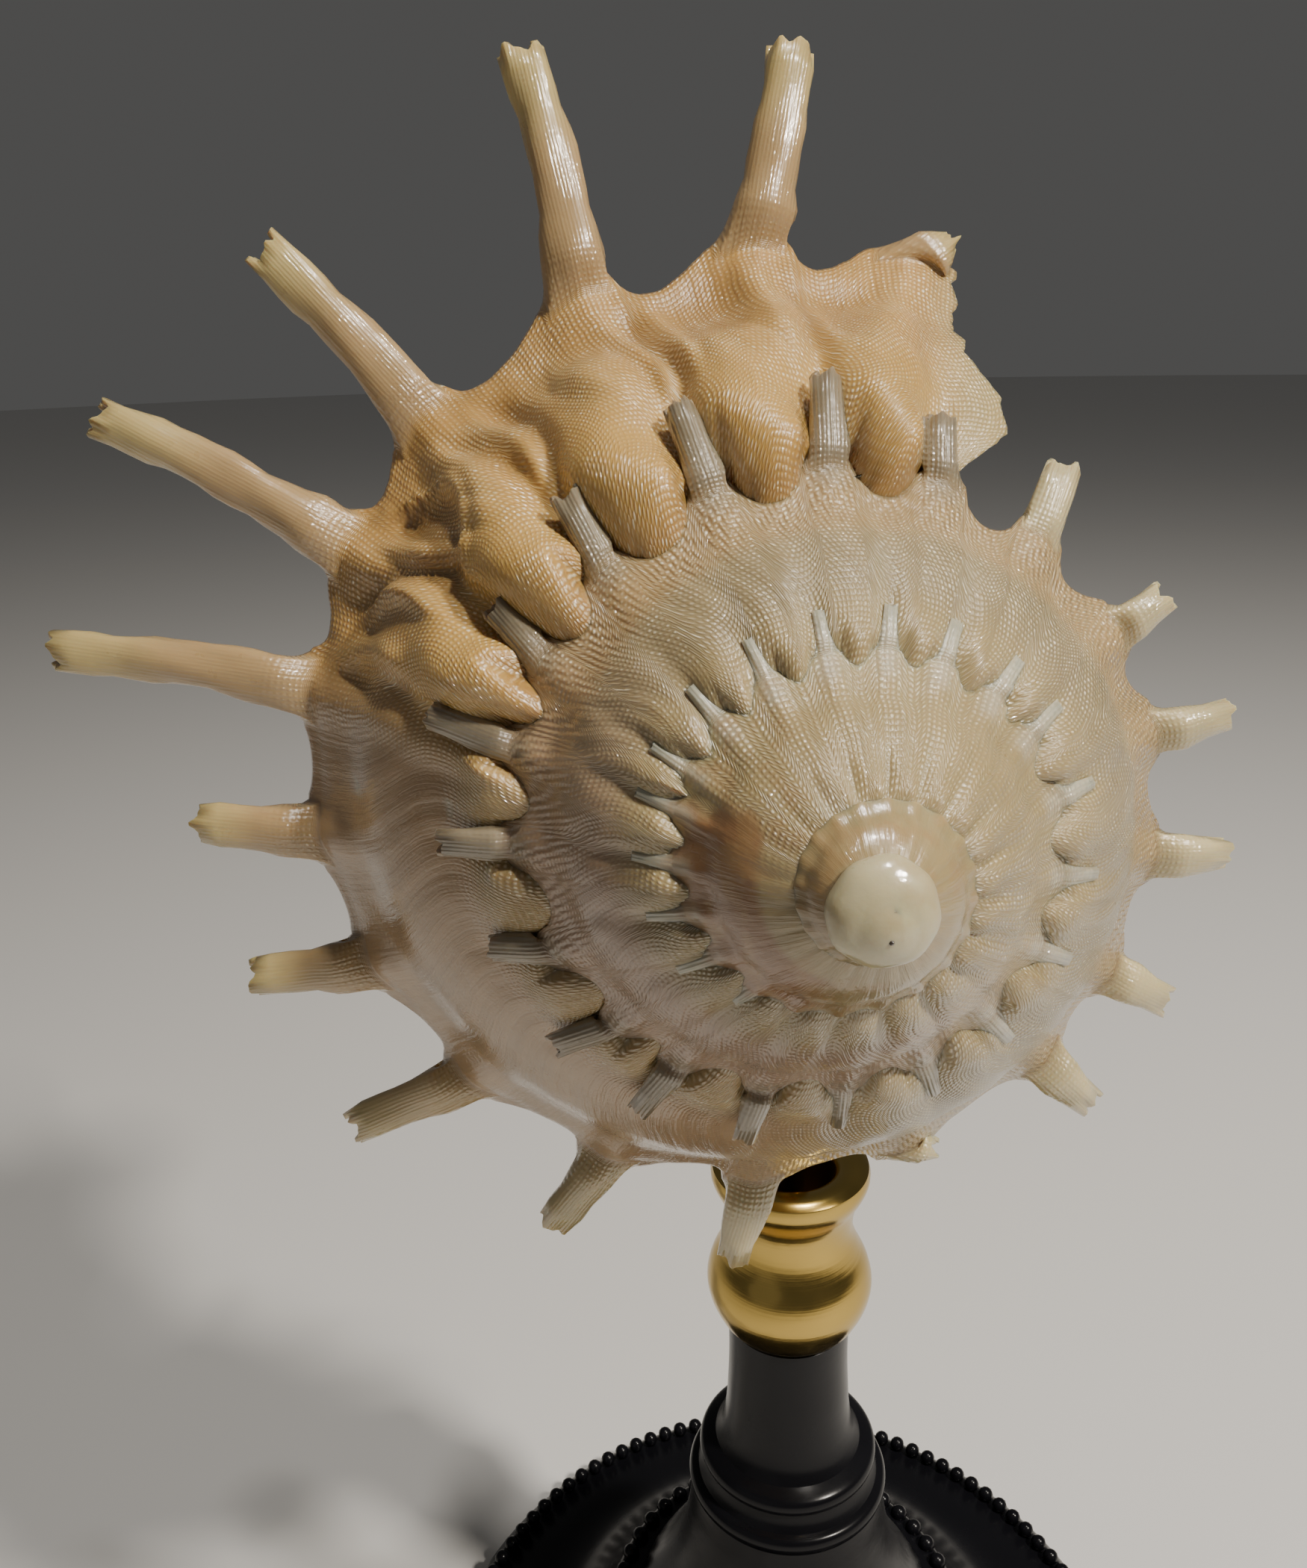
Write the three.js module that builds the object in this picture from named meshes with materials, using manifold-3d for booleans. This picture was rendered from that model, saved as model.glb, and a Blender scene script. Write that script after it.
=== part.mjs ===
// A carrier shell with long rays round its keel, held on a small turned stand.
// Millimetres, +Z up. The origin is the middle of the foot's underside.
// The shell's apex looks forward, along -Y, and its open base looks back.
import * as THREE from "three";
import { ParametricGeometry } from "three/addons/geometries/ParametricGeometry.js";
import { mergeVertices } from "three/addons/utils/BufferGeometryUtils.js";
import Module from "manifold-3d";

const wasm = await Module();
wasm.setup();

// Place of the shell
const apexPlace = new THREE.Vector3(0, -48, 131);
const axisRise = 9; // degrees that the axis climbs towards the apex
const axisSwing = 3.6; // degrees that it turns towards +X
const lipClock = 18; // degrees past the top, where the first ray stands

// Growth of the shell: the keel winds down a cone, and each angle counts back from the first ray
const keelAtLip = 44.5;
const growth = 0.511; // natural logarithm of the growth in one turn, at the lip
const growthFade = 0.0555; // how much stronger it is for each turn further in
const cone = 1.1; // depth below the apex for each millimetre of keel radius
const lipEnd = 5.3; // degrees past the first ray
const firstWhorlEnd = -1400;
const domeRadius = 2.9;

// Form of a whorl, in parts of its keel radius unless a unit is given
const faceBulge = 0.07; // of the width of the upper face
const flangeDip = 0.03;
const keelThickness = 1.3; // mm at the lip
const scallop = 0.1; // how far the keel falls back between two rays, of the face's width
const lobeHeight = 0.045;
const wall = 1.3; // mm
const mouthDepth = 205; // degrees that the open hollow runs back from the lip
const mouthClear = 24; // degrees past the first ray where both cuts start, clear of the lip
const baseLipSetBack = 42; // degrees that the lower lip lies behind the roof of the mouth
const coreTop = 2;
const coreFoot = 29.5; // mm below the apex, where the open umbilicus ends
const umbilicusWall = 0.25; // distance of its wall from the axis, of the keel radius of the whorl before

// Rays, counted back from the lip: degrees to the next ray, length in mm, and lean along the growth
const rayGaps = [
  18, 20, 22, 17, 17, 18, 18, 20, 22, 21, 22, 25, 17, 20, 20, 18, 20, 19, 19, 20, 22, 19, 16, 18,
  22, 20, 15, 19, 18, 19, 18, 20, 19, 20, 19, 14, 17, 16, 17, 18, 18, 17, 12, 17, 17, 18, 18,
];
const rayLengths = [
  4.4, 17.5, 21, 19.5, 23.5, 22.5, 11, 11, 12, 9, 9, 3, 7, 6.5,
  7, 7, 5, 6.5, 5.5, 7.5, 7.5, 6.5, 5.5, 7, 6, 5, 5.5,
];
const rayLeans = [
  38, 13, 9, 1, -1, -4, 10, 16, 18, 12, 8, -55, -3, -1,
  -7, 0, -5, -15, -17, -1, -1, 12, 16, 2, 0, 19, 17,
];
const innerRay = 0.19; // length of the inner rays, of the keel radius
const rayWidth = 0.1; // of the keel radius
const rayCurl = 0.6; // degrees for each millimetre of length, against the growth
const rayDrop = 0.15; // fall away from the apex for each millimetre
const hollowDepth = 2.5; // mm down the broken end of a long ray
const hollowFrom = 9; // mm, the shortest ray whose hollow end is cut

// Stand
const rodRadius = 1.5;
const cupTop = 81;
const cupRim = 8.15;
const cupFoot = 62;
const cupWell = 12; // mm deep
const columnFoot = 18.6;
const innerBeads = { ring: 19.7, height: 18.2, radius: 1.05 };
const outerBeads = { ring: 40.4, height: 5.4, radius: 1 };
const footRadius = 43.5;
const clearance = 0.3; // between two pieces that touch

const radians = THREE.MathUtils.degToRad;
const smooth = THREE.MathUtils.smoothstep;
const lerp = THREE.MathUtils.lerp;

// The shell's own directions
const rise = radians(axisRise);
const swing = radians(axisSwing);
const axis = new THREE.Vector3(0, -Math.cos(rise), Math.sin(rise));
axis.applyAxisAngle(new THREE.Vector3(0, 0, 1), swing);
const up = new THREE.Vector3(0, 0, 1).addScaledVector(axis, -axis.z).normalize();
const right = new THREE.Vector3().crossVectors(up, axis);

// Turns any closed three.js geometry into a solid whose faces point out.
function toSolid(geometry) {
  geometry.deleteAttribute("normal");
  geometry.deleteAttribute("uv");
  const merged = mergeVertices(geometry, 1e-4);
  const index = merged.index.array;
  const kept = [];
  for (let i = 0; i < index.length; i += 3) {
    const [a, b, c] = [index[i], index[i + 1], index[i + 2]];
    if (a !== b && b !== c && c !== a) kept.push(a, b, c);
  }
  const vertProperties = new Float32Array(merged.attributes.position.array);
  const build = (order) =>
    new wasm.Manifold(new wasm.Mesh({ numProp: 3, vertProperties, triVerts: new Uint32Array(order) }));
  const made = build(kept);
  return made.volume() > 0 ? made : build(kept.reverse());
}

function toMesh(solid, name, material) {
  const cut = solid.getMesh();
  const geometry = new THREE.BufferGeometry();
  geometry.setAttribute("position", new THREE.BufferAttribute(new Float32Array(cut.vertProperties), 3));
  geometry.setIndex(new THREE.BufferAttribute(new Uint32Array(cut.triVerts), 1));
  geometry.computeVertexNormals();
  const mesh = new THREE.Mesh(geometry, material);
  mesh.name = name;
  return mesh;
}

// A closed body through rings with the same number of points.
// Its ends are closed on the middle of the first and the last ring.
function loft(rings) {
  const total = (ring) => ring.reduce((sum, point) => sum.add(point), new THREE.Vector3());
  const cap = (ring) => ring.map(() => total(ring).divideScalar(ring.length));
  const all = [cap(rings[0]), ...rings, cap(rings.at(-1))];
  const sides = rings[0].length;
  const place = (u, v, target) => {
    const ring = all[Math.round(u * (all.length - 1))];
    target.copy(ring[Math.round(v * sides) % sides]);
  };
  return toSolid(new ParametricGeometry(place, all.length - 1, sides));
}

function keelRadius(angle) {
  const turns = angle / 360;
  return keelAtLip * Math.exp(growth * turns - growthFade * turns * turns);
}

// A point of the shell: growth angle, distance from the axis, depth below the apex.
function shellPoint(angle, out, depth) {
  const clock = radians(lipClock + angle);
  return apexPlace
    .clone()
    .addScaledVector(up, out * Math.cos(clock))
    .addScaledVector(right, out * Math.sin(clock))
    .addScaledVector(axis, -depth);
}

// Rays
const rayAngles = [0];
for (const gap of rayGaps) rayAngles.push(rayAngles.at(-1) - gap);

const rays = rayAngles.map((angle, i) => {
  const keel = keelRadius(angle);
  const length = rayLengths[i] ?? innerRay * keel;
  return { angle, keel, length, lean: rayLeans[i] ?? 0, width: rayWidth * keel };
});

// How close an angle is to the nearest ray: 1 on a ray, 0 half way between two rays.
function nearRay(angle) {
  if (angle >= rayAngles[0]) return Math.max(0, 1 - (angle - rayAngles[0]) / 9);
  const next = rayAngles.findIndex((a) => a < angle);
  if (next < 0) return 0;
  const part = (rayAngles[next - 1] - angle) / (rayAngles[next - 1] - rayAngles[next]);
  return Math.abs(1 - 2 * part);
}

// Upper face of a whorl, from the suture at 0 to the keel at 1, lifted off its surface by some millimetres.
function facePoint(angle, along, lift = 0) {
  const outer = keelRadius(angle);
  const inner = keelRadius(angle - 360);
  const width = Math.hypot(outer - inner, cone * (outer - inner));
  const lobes = lobeHeight * outer * (1 - nearRay(angle - 360) ** 2) * (1 - smooth(along, 0.15, 0.55));
  const ridge = 0.02 * outer * nearRay(angle) ** 3 * smooth(along, 0.5, 0.95);
  const dip = flangeDip * Math.exp(-(((along - 0.8) / 0.13) ** 2));
  const off = lift + lobes + ridge + (faceBulge * Math.sin(Math.PI * Math.min(along, 1)) - dip) * width;
  const slope = Math.atan(cone);
  const out = lerp(inner, outer, along) + off * Math.sin(slope);
  const depth = cone * lerp(inner, outer, along) - off * Math.cos(slope);
  return [out, depth];
}

// Section of a whorl as points [growth angle, distance from the axis, depth below the apex].
function whorlSection(angle, detail) {
  const outer = keelRadius(angle);
  const inner = keelRadius(angle - 360);
  const edge = 1 - scallop * (1 - nearRay(angle) ** 2);
  const steps = detail ? [0.04, 0.14, 0.27, 0.44, 0.63, 0.83] : [0.05, 0.25, 0.6];
  const lead = (along) =>
    7.5 * Math.exp(-(((along - 0.25) / 0.2) ** 2)) * smooth(angle, -20, lipEnd);
  const face = steps.map((along) => [angle + lead(along), ...facePoint(angle + lead(along), along * edge)]);
  const [keelOut, keelDepth] = facePoint(angle, edge);
  const thickness = (keelThickness * outer) / keelAtLip;
  const base = detail
    ? [[0.78, 1.115], [0.5, 1.175], [0.27, 1.165], [0.19, 1.06], [0.165, 0.9]]
    : [[0.6, 1.15], [0.25, 1.16], [0.18, 1]];
  // The first and last points lie inside the whorl before, so that the two join.
  return [
    [angle, 0.84 * inner, 1.03 * inner],
    ...face,
    [angle, keelOut, keelDepth],
    [angle, keelOut - 0.3 * thickness, keelDepth + thickness],
    ...base.map(([out, depth]) => [angle, out * outer, depth * outer]),
    [angle, umbilicusWall * inner, 1.05 * inner],
  ];
}

// The same section drawn together towards its middle, for an end that hides inside the next stretch.
function drawnIn(section) {
  const mean = (part) => section.reduce((sum, point) => sum + point[part], 0) / section.length;
  const [middleOut, middleDepth] = [mean(1), mean(2)];
  return section.map(([angle, out, depth]) => [
    angle - 2,
    lerp(middleOut, out, 0.6),
    lerp(middleDepth, depth, 0.6),
  ]);
}

const toRing = (section) => section.map((point) => shellPoint(...point));

// Growth angles with the same number of steps between neighbouring rays.
function stepsBetween(first, last, perRay) {
  const angles = [];
  for (let i = first; i < last; i++)
    for (let k = 0; k < perRay; k++) angles.push(lerp(rayAngles[i], rayAngles[i + 1], k / perRay));
  return [...angles, rayAngles[last]];
}

function whorls() {
  const lastRay = rayAngles.length - 1;
  const lip = [lipEnd, 2.5];
  const stretches = [
    [[...lip, ...stepsBetween(0, 9, 3)], true],
    [stepsBetween(9, 19, 3), true],
    [stepsBetween(19, 30, 3), false],
    [stepsBetween(30, 42, 2), false],
    [stepsBetween(42, lastRay, 2), false],
  ];
  const from = rayAngles[lastRay];
  const innermost = Array.from({ length: 23 }, (_, i) => lerp(from, firstWhorlEnd, i / 22));
  stretches.push([innermost, false]);
  const solids = stretches.map(([angles, detail]) => {
    const sections = angles.map((angle) => whorlSection(angle, detail));
    return loft([...sections, drawnIn(sections.at(-1))].map(toRing));
  });
  return solids.reduce((sum, part) => sum.add(part));
}

// The nucleus of the spire and the solid middle above the end of the umbilicus, turned on the shell's axis.
function core() {
  const profile = [];
  for (let i = 0; i <= 5; i++) {
    const turn = (i / 5) * (Math.PI / 2);
    profile.push([domeRadius * Math.sin(turn), coreTop + 0.2 - 1.5 * Math.cos(turn)]);
  }
  const footRadiusInside = umbilicusWall * coreFoot;
  profile.push([footRadiusInside, coreFoot - 1], [footRadiusInside, coreFoot], [0, coreFoot]);
  const lathe = new THREE.LatheGeometry(profile.map(([out, depth]) => new THREE.Vector2(out, depth)), 12);
  // The lathe turns round Y, which becomes the way down from the apex.
  const basis = new THREE.Matrix4().makeBasis(right, axis.clone().negate(), up).setPosition(apexPlace);
  return toSolid(lathe.applyMatrix4(basis));
}

// A point on the middle line of a ray, and its directions, at a distance past the keel line.
function rayFrame(ray, distance) {
  const clock = radians(lipClock + ray.angle);
  const outward = up.clone().multiplyScalar(Math.cos(clock)).addScaledVector(right, Math.sin(clock));
  const along = right.clone().multiplyScalar(Math.cos(clock)).addScaledVector(up, -Math.sin(clock));
  const bend = radians(-rayCurl);
  const start = radians(ray.lean) - (bend * ray.length) / 2;
  const turn = start + bend * distance;
  const centre = shellPoint(ray.angle, ray.keel, cone * ray.keel + rayDrop * distance)
    .addScaledVector(outward, (Math.sin(turn) - Math.sin(start)) / bend)
    .addScaledVector(along, (Math.cos(start) - Math.cos(turn)) / bend);
  const side = along.clone().multiplyScalar(Math.cos(turn)).addScaledVector(outward, -Math.sin(turn));
  return { centre, side, over: axis };
}

function rayRing(ray, distance, halfWidth, halfHeight, sides) {
  const { centre, side, over } = rayFrame(ray, distance);
  return Array.from({ length: sides }, (_, i) => {
    const turn = (i / sides) * 2 * Math.PI;
    return centre
      .clone()
      .addScaledVector(side, halfWidth * Math.cos(turn))
      .addScaledVector(over, halfHeight * Math.sin(turn));
  });
}

function rayBody(ray) {
  const half = ray.width / 2;
  const long = ray.length >= hollowFrom;
  const sides = ray.length > 4 ? 6 : 4;
  const root = [[-1, 2.2, 0.5], [0, 1.6, 0.8]];
  const stations = root.map(([distance, wide, high]) => [distance * ray.width, wide, high]);
  if (long) stations.push([0.7 * ray.width, 1.1, 0.85], [0.6 * ray.length, 1, 0.8]);
  stations.push([Math.max(ray.length, 0.9 * ray.width), 0.82, 0.7]);
  const ring = ([distance, wide, high]) => rayRing(ray, distance, wide * half, high * half, sides);
  const body = loft(stations.map(ring));
  if (!long) return body;
  const bore = [-hollowDepth, 0.6].map((past) =>
    rayRing(ray, ray.length + past, 0.5 * half, 0.4 * half, sides));
  return body.subtract(loft(bore));
}

// The hollow of the last whorl, open at the mouth.
function mouthHollow() {
  const rings = [];
  const count = 18;
  const roof = [0.16, 0.4, 0.65, 0.86];
  const floorAndWalls = [
    [0.92, 1.085], [0.75, 1.085], [0.55, 1.12], [0.38, 1.145], [0.28, 1.1],
    [0.25, 0.96], [0.26, 0.79], [0.34, 0.71], [0.5, 0.69],
  ];
  for (let i = 0; i <= count; i++) {
    const angle = lerp(mouthClear, lipEnd - mouthDepth, i / count);
    const outer = keelRadius(angle);
    const open = lerp(1, 0.55, smooth(i / count, 0.75, 1)); // it narrows at its inner end
    const narrowed = ([out, depth]) => [
      angle,
      lerp(0.62 * outer, out, open),
      lerp(0.95 * outer, depth, open),
    ];
    const section = [
      ...roof.map((along) => facePoint(angle, along, -wall)),
      ...floorAndWalls.map(([out, depth]) => [out * outer, depth * outer]),
    ];
    rings.push(toRing(section.map(narrowed)));
  }
  return loft(rings);
}

// The notch that sets the lower lip back, so that the mouth opens towards the base.
function lowerLipNotch() {
  const rings = [];
  const count = 8;
  const section = [
    [0.9, 1.04], [0.915, 1.3], [0.75, 1.3], [0.6, 1.3], [0.45, 1.3],
    [0.31, 1.3], [0.31, 1.0], [0.45, 1.04], [0.6, 1.04], [0.75, 1.04],
  ];
  for (let i = 0; i <= count; i++) {
    const angle = lerp(mouthClear, -4, i / count);
    const outer = keelRadius(angle);
    const bow = (out) => Math.sin((Math.PI * (out - 0.29)) / 0.66); // deepest half way across the base
    const setBack = (out) => (baseLipSetBack * bow(out) * i) / count;
    rings.push(toRing(section.map(([out, depth]) => [angle - setBack(out), out * outer, depth * outer])));
  }
  return loft(rings);
}

function shellSolid() {
  const body = rays.map(rayBody).reduce((sum, ray) => sum.add(ray), whorls().add(core()));
  return body.subtract(mouthHollow()).subtract(lowerLipNotch());
}

// A body turned round the stand's axis from a list of [radius, height].
function turned(profile, segments) {
  const points = profile.map(([radius, height]) => new THREE.Vector2(radius, height));
  return toSolid(new THREE.LatheGeometry(points, segments).rotateX(Math.PI / 2));
}

// The upper part of a round bead moulding as [radius, height], from its outer side to its inner side.
function moulding({ ring, height, radius }) {
  return [10, 50, 90, 130, 170].map((degrees) => {
    const turn = radians(degrees);
    return [ring + radius * Math.cos(turn), height + radius * Math.sin(turn)];
  });
}

function footSolid() {
  const top = columnFoot - clearance;
  const profile = [
    [0, 0], [footRadius, 0], [footRadius, 1.6], [42.4, 3.6],
    ...moulding(outerBeads),
    [36, 5.7], [30, 7.4], [25, 11], [22, 15], [20.9, 17.4],
    ...moulding(innerBeads),
    [18.4, top], [0, top],
  ];
  return turned(profile, 40);
}

function columnSolid() {
  const top = cupFoot - clearance;
  const profile = [
    [0, columnFoot], [17.6, columnFoot], [16.4, 21.5], [14.2, 25], [12, 30], [10.9, 36], [10.6, 39.4],
    [10.5, 41], [9.8, 42.6], [9.1, 43.4], [9.5, 44.5], [8.6, 45.8], [7.2, 47], [6.5, 51],
    [6.4, top], [0, top],
  ];
  return turned(profile, 18);
}

function cupSolid() {
  const floor = cupTop - cupWell;
  const profile = [
    [0, cupFoot], [6.6, cupFoot], [7.6, 63.3], [8.5, 65.6], [8.5, 67.6], [7.5, 70.4], [6.4, 73.4],
    [6.9, 76.4], [7.9, 78.8], [cupRim, 80.3], [cupRim - 0.4, cupTop], [cupRim - 1.3, cupTop - 0.5],
    [6.3, 78], [5.2, 74], [5, floor], [0, floor],
  ];
  return turned(profile, 18);
}

function rodSolid() {
  const inShell = (depth, sideways) => shellPoint(0, 0, depth).addScaledVector(right, sideways);
  const path = new THREE.CatmullRomCurve3([
    new THREE.Vector3(0, 0, cupTop - cupWell + clearance),
    new THREE.Vector3(0, 0, 88),
    new THREE.Vector3(0, 0.4, 104),
    new THREE.Vector3(-1.6, 0.6, 115),
    new THREE.Vector3(-3, -2, 121.4),
    inShell(42, 0),
    inShell(coreFoot + clearance, 0),
  ]);
  const outline = new THREE.Shape().absarc(0, 0, rodRadius, 0, 2 * Math.PI);
  const along = { steps: 16, curveSegments: 4, bevelEnabled: false, extrudePath: path };
  return toSolid(new THREE.ExtrudeGeometry(outline, along));
}

function finish(color, roughness, metalness) {
  return new THREE.MeshStandardMaterial({ color, roughness, metalness });
}

const shellCream = finish(0xd9bd93, 0.42, 0);
const blackLacquer = finish(0x17171a, 0.22, 0);
const polishedBrass = finish(0xc79a45, 0.24, 1);

const shellOnStand = new THREE.Group();
shellOnStand.add(
  toMesh(shellSolid(), "shell", shellCream),
  toMesh(rodSolid(), "mounting_rod", polishedBrass),
  toMesh(cupSolid(), "brass_cup", polishedBrass),
  toMesh(columnSolid(), "stand_column", blackLacquer),
  toMesh(footSolid(), "stand_foot", blackLacquer),
);

export default shellOnStand;
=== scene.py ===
from math import atan, atan2, cos, exp, hypot, pi, radians, sin

import bmesh
import bpy
import numpy as np
from mathutils import Matrix, Vector


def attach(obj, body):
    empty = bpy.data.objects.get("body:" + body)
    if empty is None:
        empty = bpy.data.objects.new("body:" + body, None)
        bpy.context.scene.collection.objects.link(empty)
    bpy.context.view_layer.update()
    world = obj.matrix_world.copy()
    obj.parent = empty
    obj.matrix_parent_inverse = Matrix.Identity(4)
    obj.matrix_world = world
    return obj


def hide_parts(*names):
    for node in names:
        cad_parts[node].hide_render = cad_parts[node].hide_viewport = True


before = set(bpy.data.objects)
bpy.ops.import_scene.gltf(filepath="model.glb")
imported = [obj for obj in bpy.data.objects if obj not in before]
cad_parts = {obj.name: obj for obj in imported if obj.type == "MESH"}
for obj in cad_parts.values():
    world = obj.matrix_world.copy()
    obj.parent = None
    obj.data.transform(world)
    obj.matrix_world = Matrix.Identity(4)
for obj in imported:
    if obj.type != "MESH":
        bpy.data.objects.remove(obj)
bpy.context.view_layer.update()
mm = 0.001
print("frame loaded", sorted(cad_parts))

# The spiral, in millimetres and degrees. A growth angle counts back from the first ray, at the lip.
spiral = {
    "apex": (0, -48, 131),
    "rise": 9,  # of the axis over the level
    "swing": 3.6,  # of the axis to one side
    "clock": 18,  # of the first ray, from upright
    "keel": 44.5,  # radius at the first ray
    "growth": 0.511,  # of the radius in a turn, as a power of e
    "fade": 0.0555,
    "cone": 1.1,  # depth below the apex for each mm of radius
    "lip": 5.3,
    "start": -1440,
    "bulge": 0.07,  # of the face, in parts of its width
    "dip": (0.03, 0.8, 0.13),  # of the face near the keel: depth, place and spread
    "edge": 1.3,  # thickness of the keel
}
rays = {
    "gaps": [
        18, 20, 22, 17, 17, 18, 18, 20, 22, 21, 22, 25, 17, 20, 20, 18, 20, 19, 19, 20, 22, 19, 16, 18,
        22, 20, 15, 19, 18, 19, 18, 20, 19, 20, 19, 14, 17, 16, 17, 18, 18, 17, 12, 17, 17, 18, 18,
    ],
    "lengths": [
        4.4, 17.5, 21, 19.5, 23.5, 22.5, 11, 11, 12, 9, 9, 3, 7, 6.5,
        7, 7, 5, 6.5, 5.5, 7.5, 7.5, 6.5, 5.5, 7, 6, 5, 5.5,
    ],
    "leans": [
        38, 13, 9, 1, -1, -4, 10, 16, 18, 12, 8, -55, -3, -1,
        -7, 0, -5, -15, -17, -1, -1, 12, 16, 2, 0, 19, 17,
    ],
    "webs": [0.12, 0.1, 0.07, 0.05, 0.05, 0.0, 0.0, 0.05, 0.06, 0.12],
    "whorls": (17, 29),  # first ray of the whorl before the last one, and of those further in
    "overrun": 380,  # degrees past the start to which the rays are counted
    "innerGap": 17.5,  # this and the next three are for rays that the lists leave out
    "innerLength": (0.31, 0.2),  # of the keel radius
    "innerWeb": (0.11, 0.04),
    "innerKeel": 9.5,  # keel radius below which the second number holds
    "width": (0.1, 0.1, 0.085),  # of the keel radius, on the last whorl, the one before and the rest
    "curl": 0.6,  # degrees for each millimetre
    "drop": (0.15, 0.42, 0.68),  # depth for each mm of length
    "leave": (0.15, 0.42, 0.95),  # the same at the root
    "sink": (0.0, 0.15, 0.45),  # of the half width, below the keel at the root
    "rootHalf": (0.8, 0.75, 1.0),  # half width of the root, in ray widths
    "tip": (1.0, 1.1, 0.85),  # width at the broken end
    "thinTips": {0: 0.4, 11: 0.6},
    "chips": [(2, 1, 2), (3, 0.7, 5), (4, 0.4, 9)],  # of the broken end: random number, share and waves
    "flat": 0.78,  # depth of the section over its width
    "flare": (1.9, 1.9, 3.0),  # mm that the keel rises to meet a ray
    "flareReach": (2.6, 1.5, 2.4),
    "webTurn": 0.78,  # where the edge of a web turns back
    "hollow": 3.0,
}
relief = {
    "lobeCrest": [  # points (along the face, 0 at the younger ray and 1 at the older one)
        (-0.14, 0.31), (0, 0.33), (0.07, 0.43), (0.135, 0.53), (0.2, 0.6),
        (0.27, 0.61), (0.35, 0.56), (0.44, 0.46), (0.55, 0.36), (0.7, 0.3),
    ],
    # near the lip, on the smooth part and on the older whorls: height, loss outwards, its reach, and the end
    "lobes": [
        (0.084, 0.68, (0.12, 0.5), (0.4, 0.85)),
        (0.033, 0.0, (0.12, 0.5), (0.06, 0.27)),
        (0.032, 0.65, (0.1, 0.36), (0.4, 0.75)),
    ],
    "padRadius": (0.06, 0.15),  # round end of a lobe at its younger and older side
    "padSides": (0.27, 0.14),
    "tuck": 0.035,  # how far the face dives under the keel of the whorl before
    "valley": 0.014,  # these heights are in parts of the keel radius
    "ridge": 0.026,
    "hollow": 0.02,
    "oldWave": 0.002,
    "smoothWave": 0.0012,
    "wrinkle": 0.0008,
    "pleats": 2.7,  # between two rays, on the newest part
    "pleatHeight": 0.5,
    "foldSize": (0.72, 1.25),  # of the heights and widths below
    "bow": (9, 0.26, 0.3),  # degrees that a growth line runs ahead, place and spread
    "lipBow": (7.6, 0.27, 0.21),
}
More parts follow.
